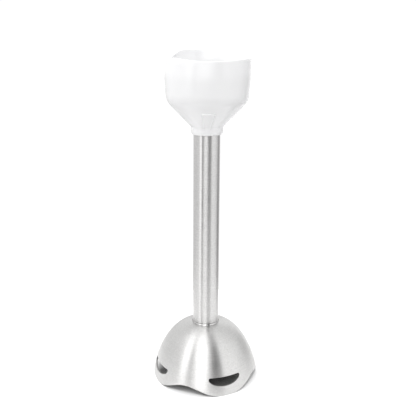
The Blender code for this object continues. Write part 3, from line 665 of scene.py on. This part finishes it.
LEDGE_DEPTH = 3.5
NECK_TUBE_WALL = 2.4        # of the inner tube that guides the steel tube
NECK_TUBE_TOP = 15.3        # above the cup's foot
POCKET_FLOOR = 13.2         # above the cup's foot
POCKET_WIDTH = 4.0


def cup_section(foot, ledge, tube_radius):
    """Outline of the cup at its front, where the rim is lowest.

    The screw bosses and the O-ring's groove are left out, so the hidden ring lies partly in the wall.
    """
    hole = tube_radius + GAP
    neck = hole + CUP_NECK_WALL
    cone_foot = foot + CUP_NECK
    shoulder = cone_foot + CONE_HEIGHT
    rim = foot + CUP_HEIGHT
    bore = CUP_RADIUS - CUP_WALL
    inner_ledge = bore - LEDGE_WIDTH
    corners = [
        (hole, foot),
        (hole + CUP_NECK_LIP, foot, 0.15),
        (neck, foot + CUP_NECK_CHAMFER, 0.6),
        (neck, cone_foot, 1.5),
        (CUP_RADIUS - SHOULDER_DRAFT, shoulder, SHOULDER_FILLET),
        (CUP_RADIUS, foot + CUP_BELLY, 40.0),
        (CUP_RADIUS - CUP_RIM_DRAFT, rim, 0.6),
        (bore + RIM_BEVEL, rim, 0.5),
        (bore, rim - RIM_BEVEL_HEIGHT, 6.0),
        (bore, ledge, 0.3),
        (inner_ledge, ledge, 0.3),
        (inner_ledge, ledge - LEDGE_DEPTH, 2.0),
        (hole + POCKET_WIDTH, foot + POCKET_FLOOR, 1.0),
        (hole + NECK_TUBE_WALL, foot + POCKET_FLOOR, 0.3),
        (hole + NECK_TUBE_WALL, foot + NECK_TUBE_TOP),
        (hole, foot + NECK_TUBE_TOP),
    ]
    return divided(rounded(corners, 8), 0.8)


def cup_rim_level(azimuth, rim):
    """The rim rises a little to both sides, and to a high lip at the back."""
    from_front = abs(wrap(azimuth - CUP_TURN))
    side = RIM_SIDE_RISE * smooth_step(from_front, 0.0, 75.0)
    lip = RIM_LIP_RISE * smooth_step(from_front, RIM_LIP_START, RIM_LIP_END)
    return rim + side + lip


def rib_step(radius, height, azimuth, cone_foot):
    """How far the alignment rib stands out of the cone at a place on it."""
    top = cone_foot - RIB_TOP_DROP + RIB_HEIGHT
    across = radius * radians(abs(wrap(azimuth - RIB_TURN)))
    half = radius * radians(RIB_HALF_ANGLE)
    share = smooth_step(half + RIB_EDGE / 2 - across, 0.0, RIB_EDGE)
    foot_end = smooth_step(height, cone_foot - RIB_FADE, cone_foot)
    ends = foot_end * smooth_step(top + RIB_TOP_PLAY - height, 0.0, RIB_EDGE)
    rise = (height - cone_foot) / RIB_HEIGHT
    return share * ends * (RIB_FOOT_PROUD + (RIB_PROUD - RIB_FOOT_PROUD) * rise)


def make_cup(tube_radius, seat):
    _, foot, _ = node_size("coupling_cup")
    rim = foot + CUP_HEIGHT
    cone_foot = foot + CUP_NECK
    bore = CUP_RADIUS - CUP_WALL
    ledge = cone_foot + CONE_HEIGHT + LEDGE_RISE
    section = cup_section(foot, ledge, tube_radius)
    outside = section.index(max(section, key=lambda point: point[1]))

    def outline_at(azimuth):
        outline = []
        sideways = math.sin(radians(azimuth))
        for index, (radius, height) in enumerate(section):
            share = max(height - seat, 0.0) / (rim - seat)
            skin = max(radius - bore, 0.0) / CUP_WALL
            lean = RIM_LEAN * share ** 2 * sideways
            last = min(max(height - rim + RIM_ROUND_HEIGHT, 0.0) / RIM_ROUND_HEIGHT, 1.0)
            round_over = RIM_ROUND_DEPTH * (1 - math.sqrt(1 - last ** 2)) * smooth_step(-sideways, 0.0, 1.0)
            level = height + share * (cup_rim_level(azimuth + CUP_TURN, rim) - rim)
            proud = 0.0
            if index < outside and height < cone_foot + RIB_HEIGHT + RIB_REACH:
                # along the radius a step on the 45-degree cone is longer than square to the cone
                proud = rib_step(radius, height, azimuth, cone_foot) * math.sqrt(2.0)
            outline.append((radius + skin * (lean - round_over) + proud, level))
        return outline

    rib_span = RIB_HALF_ANGLE + 4.0
    azimuths = even(64, RIB_TURN - rib_span, 2 * rib_span)[:-1]
    azimuths += even(216, RIB_TURN + rib_span, 360.0 - 2 * rib_span)[:-1]
    builder = bmesh.new()
    turn_outline(builder, outline_at, azimuths)
    cup = smooth_object("cup_shell", builder)
    cup.data.transform(Matrix.Rotation(radians(CUP_TURN), 4, "Z"))
    stand_for(cup, "coupling_cup", HOUSING, WHITE)


# Coupling socket and its screws

SOCKET_RING_HEIGHT = 11.0
SOCKET_RING_WALL = 2.0
SOCKET_FLOOR = 3.5
CLAMP_PLAY = 1.5
TOWER_WALL = 1.8
TOWER_HEIGHT = 6.5
COUPLING_CLEARANCE = 1.0
LUGS = 3
LUG_DEPTH = 1.5
LUG_HEIGHT = 3.5
LUG_ANGLE = 24.0
LUG_DROP = 1.3
SCREWS = 3
SCREW_HEAD = 1.5
SCREW_SINK = 0.4
SCREW_RADIUS = 1.5
SCREW_CHAMFER = 0.3         # of the socket round a screw's head
SOCKET_COLUMNS = 150        # none at the ends of the lugs, where one left open edges
RECESS_ARM = 1.55           # of the cross in a screw's head
RECESS_WIDTH = 0.5
RECESS_DEPTH = 0.9


def socket_seat():
    return node_size("coupling_socket")[2] - SOCKET_RING_HEIGHT


def screw_places():
    """Centre of each screw in metres, level with the frame's origin, with the radius of its head."""
    places = []
    for index in range(SCREWS):
        low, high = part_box(f"socket_screw_{index + 1}")
        middle = (low + high) / 2
        places.append((Vector((middle.x, middle.y, 0.0)), (high.x - low.x) / 2 / MM))
    return places


def make_socket():
    """Floor with the seat, a guard tower round the coupling and an outer ring with bayonet lugs.

    The holes are cut first: with the lugs in place, one of the cuts failed.
    """
    radius, clamp_foot, top = node_size("coupling_socket")
    seat = socket_seat()
    foot = seat - SOCKET_FLOOR
    flare = node_size("shaft_tube")[0]
    clamp_bore = node_size("upper_thrust_washer")[0] + CLAMP_PLAY
    tower_bore = node_size("drive_coupling")[0] + COUPLING_CLEARANCE
    ring_bore = radius - SOCKET_RING_WALL
    outline = rounded([
        (clamp_bore, clamp_foot, 0.2),
        (flare, clamp_foot, 0.3),
        (flare, foot, 0.5),
        (radius, foot, 0.4),
        (radius, top, 0.5),
        (ring_bore, top, 0.5),
        (ring_bore, seat, 1.0),
        (tower_bore + TOWER_WALL, seat, 1.0),
        (tower_bore + TOWER_WALL, seat + TOWER_HEIGHT, 0.5),
        (tower_bore, seat + TOWER_HEIGHT, 0.5),
        (tower_bore, foot, 0.3),
        (clamp_bore, foot, 0.2),
    ])
    socket = turned("socket_core", divided(outline, 1.5), SOCKET_COLUMNS)
    floor = seat - SCREW_SINK - SCREW_HEAD - GAP
    for index, (centre, head_radius) in enumerate(screw_places()):
        recess = head_radius + GAP
        hole = turned(f"screw_hole_{index}", [
            (0.0, foot - 1.0),
            (SCREW_RADIUS + GAP, foot - 1.0),
            (SCREW_RADIUS + GAP, floor),
            (recess, floor),
            (recess, seat - SCREW_CHAMFER),
            (recess + 2 * SCREW_CHAMFER, seat + SCREW_CHAMFER),
            (recess + 2 * SCREW_CHAMFER, seat + 2 * SCREW_CHAMFER),
            (0.0, seat + 2 * SCREW_CHAMFER),
        ], 48)
        hole.data.transform(Matrix.Translation(centre))
        combine(socket, hole, "DIFFERENCE")
    lug_top = top - LUG_DROP
    lug_root = ring_bore + SOCKET_RING_WALL / 2
    lug = box_outline(ring_bore - LUG_DEPTH, lug_root, lug_top - LUG_HEIGHT, lug_top, 0.4)
    for index in range(LUGS):
        builder = bmesh.new()
        start = CUP_TURN + 360.0 * index / LUGS - LUG_ANGLE / 2
        turn_outline(builder, lambda azimuth: lug, even(25, start, LUG_ANGLE), closed=False)
        combine(socket, smooth_object(f"lug_shape_{index}", builder), "UNION")
    stand_for(settle(socket), "coupling_socket", HOUSING, WHITE)


def cross_outline(arm, width):
    return [
        (arm, -width), (arm, width), (width, width), (width, arm), (-width, arm), (-width, width),
        (-arm, width), (-arm, -width), (-width, -width), (-width, -arm), (width, -arm), (width, -width),
    ]


def make_screws():
    """Pan-head screws with a cross recess, each on its own axis."""
    for index, (centre, head_radius) in enumerate(screw_places()):
        node = f"socket_screw_{index + 1}"
        low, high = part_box(node)
        foot, top = low.z / MM, high.z / MM
        head_foot = top - SCREW_HEAD
        screw = turned(f"pan_screw_{index + 1}", rounded([
            (0.0, foot),
            (SCREW_RADIUS * 0.6, foot),
            (SCREW_RADIUS, foot + 0.8),
            (SCREW_RADIUS, head_foot),
            (head_radius, head_foot, 0.15),
            (head_radius, top, 0.9),
            (0.0, top),
        ]), 48)
        cross = prism(f"cross_shape_{index}", cross_outline(RECESS_ARM, RECESS_WIDTH),
                      upright, top - RECESS_DEPTH, top + 0.5)
        combine(screw, cross, "DIFFERENCE")
        settle(screw)
        screw.data.transform(Matrix.Rotation(radians(20.0 + 35.0 * index), 4, "Z"))
        screw.data.transform(Matrix.Translation(centre))
        stand_for(screw, node, HOUSING, TURNED_STEEL)


# Bearing housing under the dome, with its seal

SEAL_POCKET_RADIUS = 6.0
HOUSING_MOUTH_WALL = 2.0
HOUSING_FLANGE = 3.0
SPIGOT = 12.1
RING_LAND = 4.5
RING_SECTION = 1.5
ROD_RADIUS = 2.5
LIP_HOLE = ROD_RADIUS + 2.5 * GAP
RUNNING_CLEARANCE = 0.08


def make_housing(tube_radius):
    radius, foot, top = node_size("bearing_housing")
    flange_top = top - SPIGOT
    bush_radius, bush_foot, _ = node_size("lower_bush")
    seal_top = node_size("lip_seal")[2]
    spigot = tube_radius - TUBE_WALL - GAP
    ring_level = top - RING_LAND
    half = RING_SECTION / 2 + GAP
    groove = spigot - RING_SECTION / 2 - half
    mouth = SEAL_POCKET_RADIUS + HOUSING_MOUTH_WALL
    outline = rounded([
        (SEAL_POCKET_RADIUS, foot, 0.5),
        (mouth, foot, 0.9),
        (mouth, seal_top + GAP, 5.0),
        (radius, flange_top - HOUSING_FLANGE, 2.0),
        (radius, flange_top, 0.3),
        (spigot, flange_top, 0.3),
        (spigot, ring_level - half),
        (groove, ring_level - half),
        (groove, ring_level + half),
        (spigot, ring_level + half),
        (spigot, top, 0.4),
        (bush_radius + GAP, top, 0.3),
        (bush_radius + GAP, bush_foot - GAP),
        (LIP_HOLE, bush_foot - GAP),
        (LIP_HOLE, seal_top + GAP),
        (SEAL_POCKET_RADIUS, seal_top + GAP),
    ])
    housing = turned("bearing_hub", divided(outline, 1.0), 120)
    stand_for(housing, "bearing_housing", HOUSING, DARK)


def make_lip_seal():
    radius, foot, top = node_size("lip_seal")
    lip = ROD_RADIUS + RUNNING_CLEARANCE
    body = radius - 2.0
    outline = rounded([
        (body, foot, 0.2),
        (radius, foot, 0.2),
        (radius, top, 0.3),
        (lip + 0.9, top, 0.3),
        (lip, top - 0.9, 0.1),
        (lip + 0.1, top - 1.5, 0.15),
        (body, top - 1.2, 0.3),
    ], 4)
    stand_for(turned("rod_lip_seal", outline, 72), "lip_seal", HOUSING, RUBBER)


def make_ring(name, node, bore, fillet, body, material):
    """Fine turned ring in the place of a CAD node."""
    radius, foot, top = node_size(node)
    ring = turned(name, box_outline(bore, radius, foot, top, fillet), 72)
    stand_for(ring, node, body, material)


# Turning pieces

COUPLING_RECESS = 6.5
RECESS_MOUTH = 0.25         # widening at its mouth
COUPLING_TEETH = 6
RECESS_INNER = 3.6
RECESS_OUTER = 5.4
CROSS_PIN_RADIUS = 0.8
CROSS_PIN_LEVEL = 3.8
CROSS_PIN_TURN = 20.0
HOLE_SIDES = 32
CLIP_DEPTH = 0.6
THREAD_RADIUS = 2.0
THREAD_PITCH = 0.7
THREAD_DEPTH = 0.25
THREAD_START = 0.6          # above the rod's foot
THREAD_END = 1.0            # plain length of the foot, in all
THREAD_LEAD = 0.4
BLADE_THICKNESS = 1.1
BLADE_ROOT = 5.9
BLADE_LEAD = 3.6
BLADE_TRAIL = 2.8
BLADE_BEND_START = 8.0
BLADE_RAISE = 3.2
BLADE_DROP = 2.2
BLADE_RADIUS = 23.5
BLADE_ROOT_LENGTH = 6.0     # over which the wing narrows from its root
BLADE_NOSE = 3.0            # over which the tip is rounded
BLADE_EDGE = 0.05           # half the thickness of the ground edge
BLADE_CORNER = 0.3
BEVEL_AT_ROOT = 0.3
BEVEL_GAIN = 1.9
BEND_END = 1.6 * BLADE_RADIUS
NUT_RADIUS = 4.4
NUT_FLOOR = 1.1


def across_axis(name, radius, length, level, turn):
    """Round bar through the axis."""
    outline = []
    for step in range(HOLE_SIDES):
        angle = 2 * math.pi * step / HOLE_SIDES
        outline.append((radius * math.cos(angle), level + radius * math.sin(angle)))
    bar = prism(name, outline, lambda y, z, x: Vector((x, y, z)) * MM, -length / 2, length / 2)
    bar.data.transform(Matrix.Rotation(radians(turn), 4, "Z"))
    return bar


def recess_outline(grow=0.0):
    """Star with rounded flanks, which the motor's dog fits."""
    points = []
    count = COUPLING_TEETH * 24
    for step in range(count):
        turn = 2 * math.pi * step / count
        wave = (1 + math.cos(COUPLING_TEETH * turn)) / 2
        radius = RECESS_INNER + (RECESS_OUTER - RECESS_INNER) * wave ** 0.8 + grow
        points.append((radius * math.cos(turn), radius * math.sin(turn)))
    return points


def make_coupling():
    radius, foot, top = node_size("drive_coupling")
    hole = ROD_RADIUS + GAP
    outline = rounded([(hole, foot, 0.3), (radius, foot, 0.6), (radius, top, 1.2), (hole, top)])
    coupling = turned("drive_dog", divided(outline, 1.0), 96)
    recess = prism("recess_shape", recess_outline(), upright, top - COUPLING_RECESS, top + 1.0)
    mouth = prism("recess_mouth", recess_outline(RECESS_MOUTH), upright, top - RECESS_MOUTH, top + 1.0)
    pin_level = foot + CROSS_PIN_LEVEL
    cross_hole = across_axis("cross_hole", CROSS_PIN_RADIUS + GAP, 2.4 * radius, pin_level, CROSS_PIN_TURN)
    for tool in (recess, mouth, cross_hole):
        combine(coupling, tool, "DIFFERENCE")
    bevel(coupling, 0.12)
    stand_for(settle(coupling), "drive_coupling", DRIVE_TRAIN, DARK)


def make_rod():
    """Ground rod, with rolled rings for its threaded foot and a groove for the clip."""
    radius, foot, top = node_size("drive_shaft")
    shoulder = node_size("blade_hub")[1]
    _, clip_foot, clip_top = node_size("retaining_clip")
    thread = []
    count = int((shoulder - foot - THREAD_END) / THREAD_PITCH)
    for index in range(count):
        level = foot + THREAD_START + THREAD_PITCH * index
        thread += [(THREAD_RADIUS - THREAD_DEPTH, level), (THREAD_RADIUS, level + THREAD_PITCH / 2)]
    outline = [(0.0, foot), (THREAD_RADIUS - THREAD_LEAD, foot)] + thread + rounded([
        (THREAD_RADIUS, shoulder),
        (radius, shoulder, 0.15),
        (radius, clip_foot - GAP),
        (radius - CLIP_DEPTH, clip_foot - GAP),
        (radius - CLIP_DEPTH, clip_top + GAP),
        (radius, clip_top + GAP),
        (radius, top, 0.5),
        (0.0, top),
    ])
    rod = turned("drive_rod", outline, 64)
    level = node_size("drive_coupling")[1] + CROSS_PIN_LEVEL
    hole = across_axis("rod_hole", CROSS_PIN_RADIUS + GAP, 4 * radius, level, CROSS_PIN_TURN)
    combine(rod, hole, "DIFFERENCE")
    stand_for(settle(rod), "drive_shaft", DRIVE_TRAIN, TURNED_STEEL)


def make_hub():
    radius, foot, top = node_size("blade_hub")
    bore = ROD_RADIUS + GAP
    outline = rounded([(bore, foot, 0.2), (radius, foot, 0.3), (radius, top, 0.7), (bore, top, 0.2)])
    hub = turned("hub_collar", divided(outline, 1.0), 72)
    stand_for(hub, "blade_hub", DRIVE_TRAIN, TURNED_BLADE)


def make_nut():
    """Hexagonal outside with a turned chamfer, a round bore and a closed domed end."""
    _, foot, top = node_size("blade_nut")
    bore = THREAD_RADIUS + GAP
    flat = NUT_RADIUS * math.cos(math.pi / 6)

    def outline_at(azimuth):
        across = flat / math.cos(radians(azimuth % 60.0 - 30.0))
        chamfer = across - flat
        return rounded([
            (0.0, foot),
            (flat - 0.9, foot, 0.5),
            (flat, foot + 0.5),
            (across, foot + 0.5 + 1.2 * chamfer),
            (across, top - 0.2 - 0.6 * chamfer),
            (flat, top - 0.1),
            (bore, top),
            (bore, foot + NUT_FLOOR),
            (0.0, foot + NUT_FLOOR),
        ])

    builder = bmesh.new()
    turn_outline(builder, outline_at, even(144))
    nut = smooth_object("dome_nut", builder, 25.0)
    stand_for(nut, "blade_nut", DRIVE_TRAIN, TURNED_BLADE)


def blade_station(radius, hub_radius):
    """Ahead, behind, bevel ahead and bend of one wing at a radius from the axis."""
    towards_tip = smooth_step(radius, hub_radius, hub_radius + BLADE_ROOT_LENGTH)
    ahead = BLADE_ROOT + (BLADE_LEAD - BLADE_ROOT) * towards_tip
    behind = BLADE_ROOT + (BLADE_TRAIL - BLADE_ROOT) * towards_tip
    nose = max(radius - (BLADE_RADIUS - BLADE_NOSE), 0.0) / BLADE_NOSE
    fullness = math.sqrt(max(1 - (0.9 * nose) ** 2, 0.0))
    bevel_width = BEVEL_AT_ROOT + BEVEL_GAIN * towards_tip
    reach = smooth_step(BLADE_RADIUS, BLADE_BEND_START, BEND_END)
    bend = smooth_step(radius, BLADE_BEND_START, BEND_END) / reach
    return ahead * fullness, behind * fullness, bevel_width * fullness, bend


def make_blade(steps=60):
    """Two-winged blade from one strip: one wing rises and the other drops."""
    hub_radius, hub_foot, _ = node_size("blade_hub")
    middle = hub_foot - GAP - BLADE_THICKNESS / 2
    half = BLADE_THICKNESS / 2
    builder = bmesh.new()
    rings = []
    for step in range(-steps, steps + 1):
        side = -1 if step < 0 else 1
        radius = BLADE_RADIUS * abs(step) / steps
        ahead, behind, bevel_width, bend = blade_station(radius, hub_radius)
        level = middle + bend * (BLADE_RAISE if side > 0 else -BLADE_DROP)
        section = [
            (ahead, BLADE_EDGE),
            (ahead - bevel_width, half),
            (-behind + BLADE_CORNER, half),
            (-behind, half - BLADE_CORNER),
            (-behind, BLADE_CORNER - half),
            (-behind + BLADE_CORNER, -half),
            (ahead - bevel_width, -half),
            (ahead, -BLADE_EDGE),
        ]
        if side < 0:
            section = [(-across, up) for across, up in section]
            # listed so that its points meet those of the other wing
            section = section[3::-1] + section[:3:-1]
        points = [(side * radius * MM, across * MM, (level + up) * MM) for across, up in section]
        rings.append([builder.verts.new(point) for point in points])
    for ring, following in zip(rings, rings[1:]):
        for index in range(len(ring)):
            builder.faces.new([ring[index - 1], ring[index], following[index], following[index - 1]])
    builder.faces.new(rings[0])
    builder.faces.new(rings[-1][::-1])
    blade = smooth_object("blade_strip", builder, 20.0)
    blade.data.transform(Matrix.Rotation(radians(BLADE_TURN), 4, "Z"))
    bore = turned("blade_bore", box_outline(0.0, THREAD_RADIUS + GAP, middle - 5.0, middle + 5.0, 0.0), 48)
    combine(blade, bore, "DIFFERENCE")
    stand_for(settle(blade, 12.0), "blade", DRIVE_TRAIN, BLADE_STEEL)


def dress_hidden_nodes():
    """CAD nodes that stay get the finish of their material slot."""
    finishes = {
        "white_plastic": WHITE, "dark_plastic": DARK, "bronze": BRONZE, "rubber": RUBBER,
        "hardware_steel": TURNED_STEEL, "blade_steel": BLADE_STEEL,
    }
    for subpart in frame["record"]["subparts"]:
        slot = subpart.get("material_slot")
        if slot in finishes:
            mesh = frame["nodes"][subpart["node"]].data
            mesh.materials.clear()
            mesh.materials.append(finishes[slot])


# Stage

def make_floor():
    """White floor, in deep shade where the bell closes it in."""
    builder = bmesh.new()
    bmesh.ops.create_circle(builder, cap_ends=True, segments=96, radius=FLOOR_RADIUS * MM)
    floor = smooth_object("floor", builder)
    floor.data.flip_normals()
    finish = Finish("floor_white", FLOOR_WHITE, 0.9)
    openness = finish.add("ShaderNodeAmbientOcclusion", {"Distance": SHADE_REACH * MM}).outputs["AO"]
    light = finish.spread(openness, 0.0, 1.0, SHADE_FULL, SHADE_NONE)
    finish.set(**{"Base Color": finish.mix(light, FLOOR_SHADE, FLOOR_WHITE), "Specular IOR Level": 0.0})
    floor.data.materials.append(finish.material)
    return floor


def make_camera():
    data = bpy.data.cameras.new("camera")
    data.sensor_width = SENSOR_WIDTH
    data.lens = LENS
    data.clip_start = 0.01
    camera = bpy.data.objects.new("camera", data)
    bpy.context.scene.collection.objects.link(camera)
    spot = Matrix.Translation(place(CAMERA_DISTANCE, CAMERA_HEIGHT, CAMERA_AZIMUTH))
    turn = Matrix.Rotation(radians(CAMERA_AZIMUTH), 4, "Z")
    level = turn @ Matrix.Rotation(radians(90.0 - CAMERA_TILT), 4, "X")
    aim = Matrix.Rotation(radians(-CAMERA_YAW), 4, "Y") @ Matrix.Rotation(radians(CAMERA_ROLL), 4, "Z")
    camera.matrix_world = spot @ level @ aim
    bpy.context.scene.camera = camera


def collect(name, objects):
    """Collection for light linking, kept out of the scene's own tree."""
    collection = bpy.data.collections.new(name)
    for obj in objects:
        collection.objects.link(obj)
    return collection


FLOOR_RADIUS = 150.0
FLOOR_LIGHT = 0.9
FLOOR_LIGHT_RISE = 57.0     # above level
FLOOR_LIGHT_SOFTNESS = 6.0
FLOOR_WHITE = (0.93, 0.93, 0.93)
FLOOR_SHADE = (0.05, 0.05, 0.05)
SHADE_REACH = 40.0          # how far off a piece still shades the floor under it
SHADE_FULL = 0.10           # openness of full shade
SHADE_NONE = 0.34           # openness without shade

# Upright soft panels and dark screens that stand round the object, by azimuth from the camera's: middle,
# half width of the even part, half width with its soft edges, and strength below level, beside and overhead
LIGHT_BANDS = [
    (-52.0, 4.0, 14.0, 0.37, 1.10, 0.0),
    (-37.0, 3.0, 11.0, -0.80, -0.40, 0.0),
    (0.0, 11.5, 26.0, -0.44, 1.47, 0.0),
    (24.0, 8.5, 21.5, -0.25, -1.54, 0.0),
    (60.0, 10.0, 32.0, 0.09, 0.40, 0.0),
    (126.0, 10.0, 27.0, -0.56, -0.22, 0.0),
    (100.0, 12.0, 35.0, 0.0, 0.12, 0.0),
    (155.0, 12.0, 35.0, 0.30, 0.10, 0.0),
    (-15.0, 30.0, 120.0, 0.0, 0.0, 0.90),
    (-20.0, 8.0, 35.0, 0.0, 0.0, 0.75),
    (-66.0, 8.0, 20.0, 0.0, 0.0, 0.65),
    (-41.0, 2.0, 9.0, 0.0, 0.0, -1.50),
    (33.0, 5.0, 20.0, 0.0, 0.0, -1.40),
]
LIGHT_BELOW = 0.75          # even light of the tent from below level, from its sides and from its top
LIGHT_BESIDE = 1.04
LIGHT_ABOVE = 0.98
TOP_EDGE = 0.6              # sine of the height where the tent's top begins
TENT_SOFTNESS = 0.04
BACKDROP = 1.05


def make_world():
    """A light tent with soft bands round it, in front of a white backdrop."""
    world = bpy.data.worlds.new("studio")
    bpy.context.scene.world = world
    world.use_nodes = True
    tree = world.node_tree

    def add(kind, inputs, output=0, **settings):
        return add_node(tree, kind, inputs, **settings).outputs[output]

    direction = add("ShaderNodeTexCoord", {}, "Generated")
    level = add("ShaderNodeVectorMath", {0: direction, 1: (1.0, 1.0, 0.0)}, operation="MULTIPLY")
    level = add("ShaderNodeVectorMath", {0: level}, operation="NORMALIZE")
    height = add("ShaderNodeSeparateXYZ", {"Vector": direction}, "Z")

    def ramp(value, start, end):
        return add("ShaderNodeMapRange", {"Value": value, "From Min": start, "From Max": end},
                   interpolation_type="SMOOTHSTEP")

    def panel(azimuth, inner, outer):
        middle = tuple(place(1.0 / MM, 0.0, CAMERA_AZIMUTH + azimuth))
        nearness = add("ShaderNodeVectorMath", {0: level, 1: middle}, "Value", operation="DOT_PRODUCT")
        return ramp(nearness, math.cos(radians(outer)), math.cos(radians(inner)))

    def more(base, amount, strength):
        return add("ShaderNodeMath", {0: amount, 1: strength, 2: base}, operation="MULTIPLY_ADD")

    below, beside, above = LIGHT_BELOW, LIGHT_BESIDE, LIGHT_ABOVE
    for azimuth, inner, outer, low, high, top in LIGHT_BANDS:
        band = panel(azimuth, inner, outer)
        below = more(below, band, low)
        beside = more(beside, band, high)
        above = more(above, band, top)
    total = 0.0
    for zone, edge in ((below, -2.0), (beside, 0.0), (above, TOP_EDGE)):
        inside = ramp(height, edge - TENT_SOFTNESS, edge + TENT_SOFTNESS)
        lit = add("ShaderNodeMath", {0: zone, 1: 0.0}, operation="MAXIMUM")
        rest = add("ShaderNodeMath", {0: 1.0, 1: inside}, operation="SUBTRACT")
        total = add("ShaderNodeMath", {0: total, 1: rest}, operation="MULTIPLY")
        total = more(total, inside, lit)
    light = add("ShaderNodeBackground", {"Strength": total})
    backdrop = add("ShaderNodeBackground", {"Strength": BACKDROP})
    for node in tree.nodes:
        if node.type == "BACKGROUND":
            node.inputs["Color"].default_value = (1.0, 1.0, 1.0, 1.0)
    seen = add("ShaderNodeLightPath", {}, "Is Camera Ray")
    mixed = add("ShaderNodeMixShader", {0: seen, 1: light, 2: backdrop})
    tree.links.new(mixed, tree.nodes["World Output"].inputs["Surface"])


def make_floor_light(floor):
    """Light on the floor alone, from the camera's side; of all pieces only the bell shades it."""
    sun = bpy.data.lights.new("floor_light", "SUN")
    sun.energy = FLOOR_LIGHT
    sun.angle = radians(FLOOR_LIGHT_SOFTNESS)
    light = bpy.data.objects.new("floor_light", sun)
    bpy.context.scene.collection.objects.link(light)
    light.rotation_euler = (radians(90.0 - FLOOR_LIGHT_RISE), 0.0, radians(CAMERA_AZIMUTH))
    light.light_linking.receiver_collection = collect("lit_floor", [floor])
    light.light_linking.blocker_collection = collect("floor_shade", [bpy.data.objects["bell_shell"]])


def main():
    scene = bpy.context.scene
    scene.view_settings.view_transform = "Standard"
    tube_radius = make_tube()
    make_bell(tube_radius)
    make_cup(tube_radius, socket_seat())
    make_socket()
    make_screws()
    make_housing(tube_radius)
    make_lip_seal()
    make_ring("seal_washer", "seal_retainer", LIP_HOLE, 0.15, HOUSING, TURNED_STEEL)
    bore = ROD_RADIUS + GAP
    make_ring("lower_washer", "lower_thrust_washer", bore, 0.12, DRIVE_TRAIN, BRONZE)
    make_ring("upper_washer", "upper_thrust_washer", bore, 0.12, DRIVE_TRAIN, TURNED_STEEL)
    make_coupling()
    make_rod()
    make_hub()
    make_nut()
    make_blade()
    dress_hidden_nodes()
    floor = make_floor()
    make_camera()
    make_world()
    make_floor_light(floor)


main()
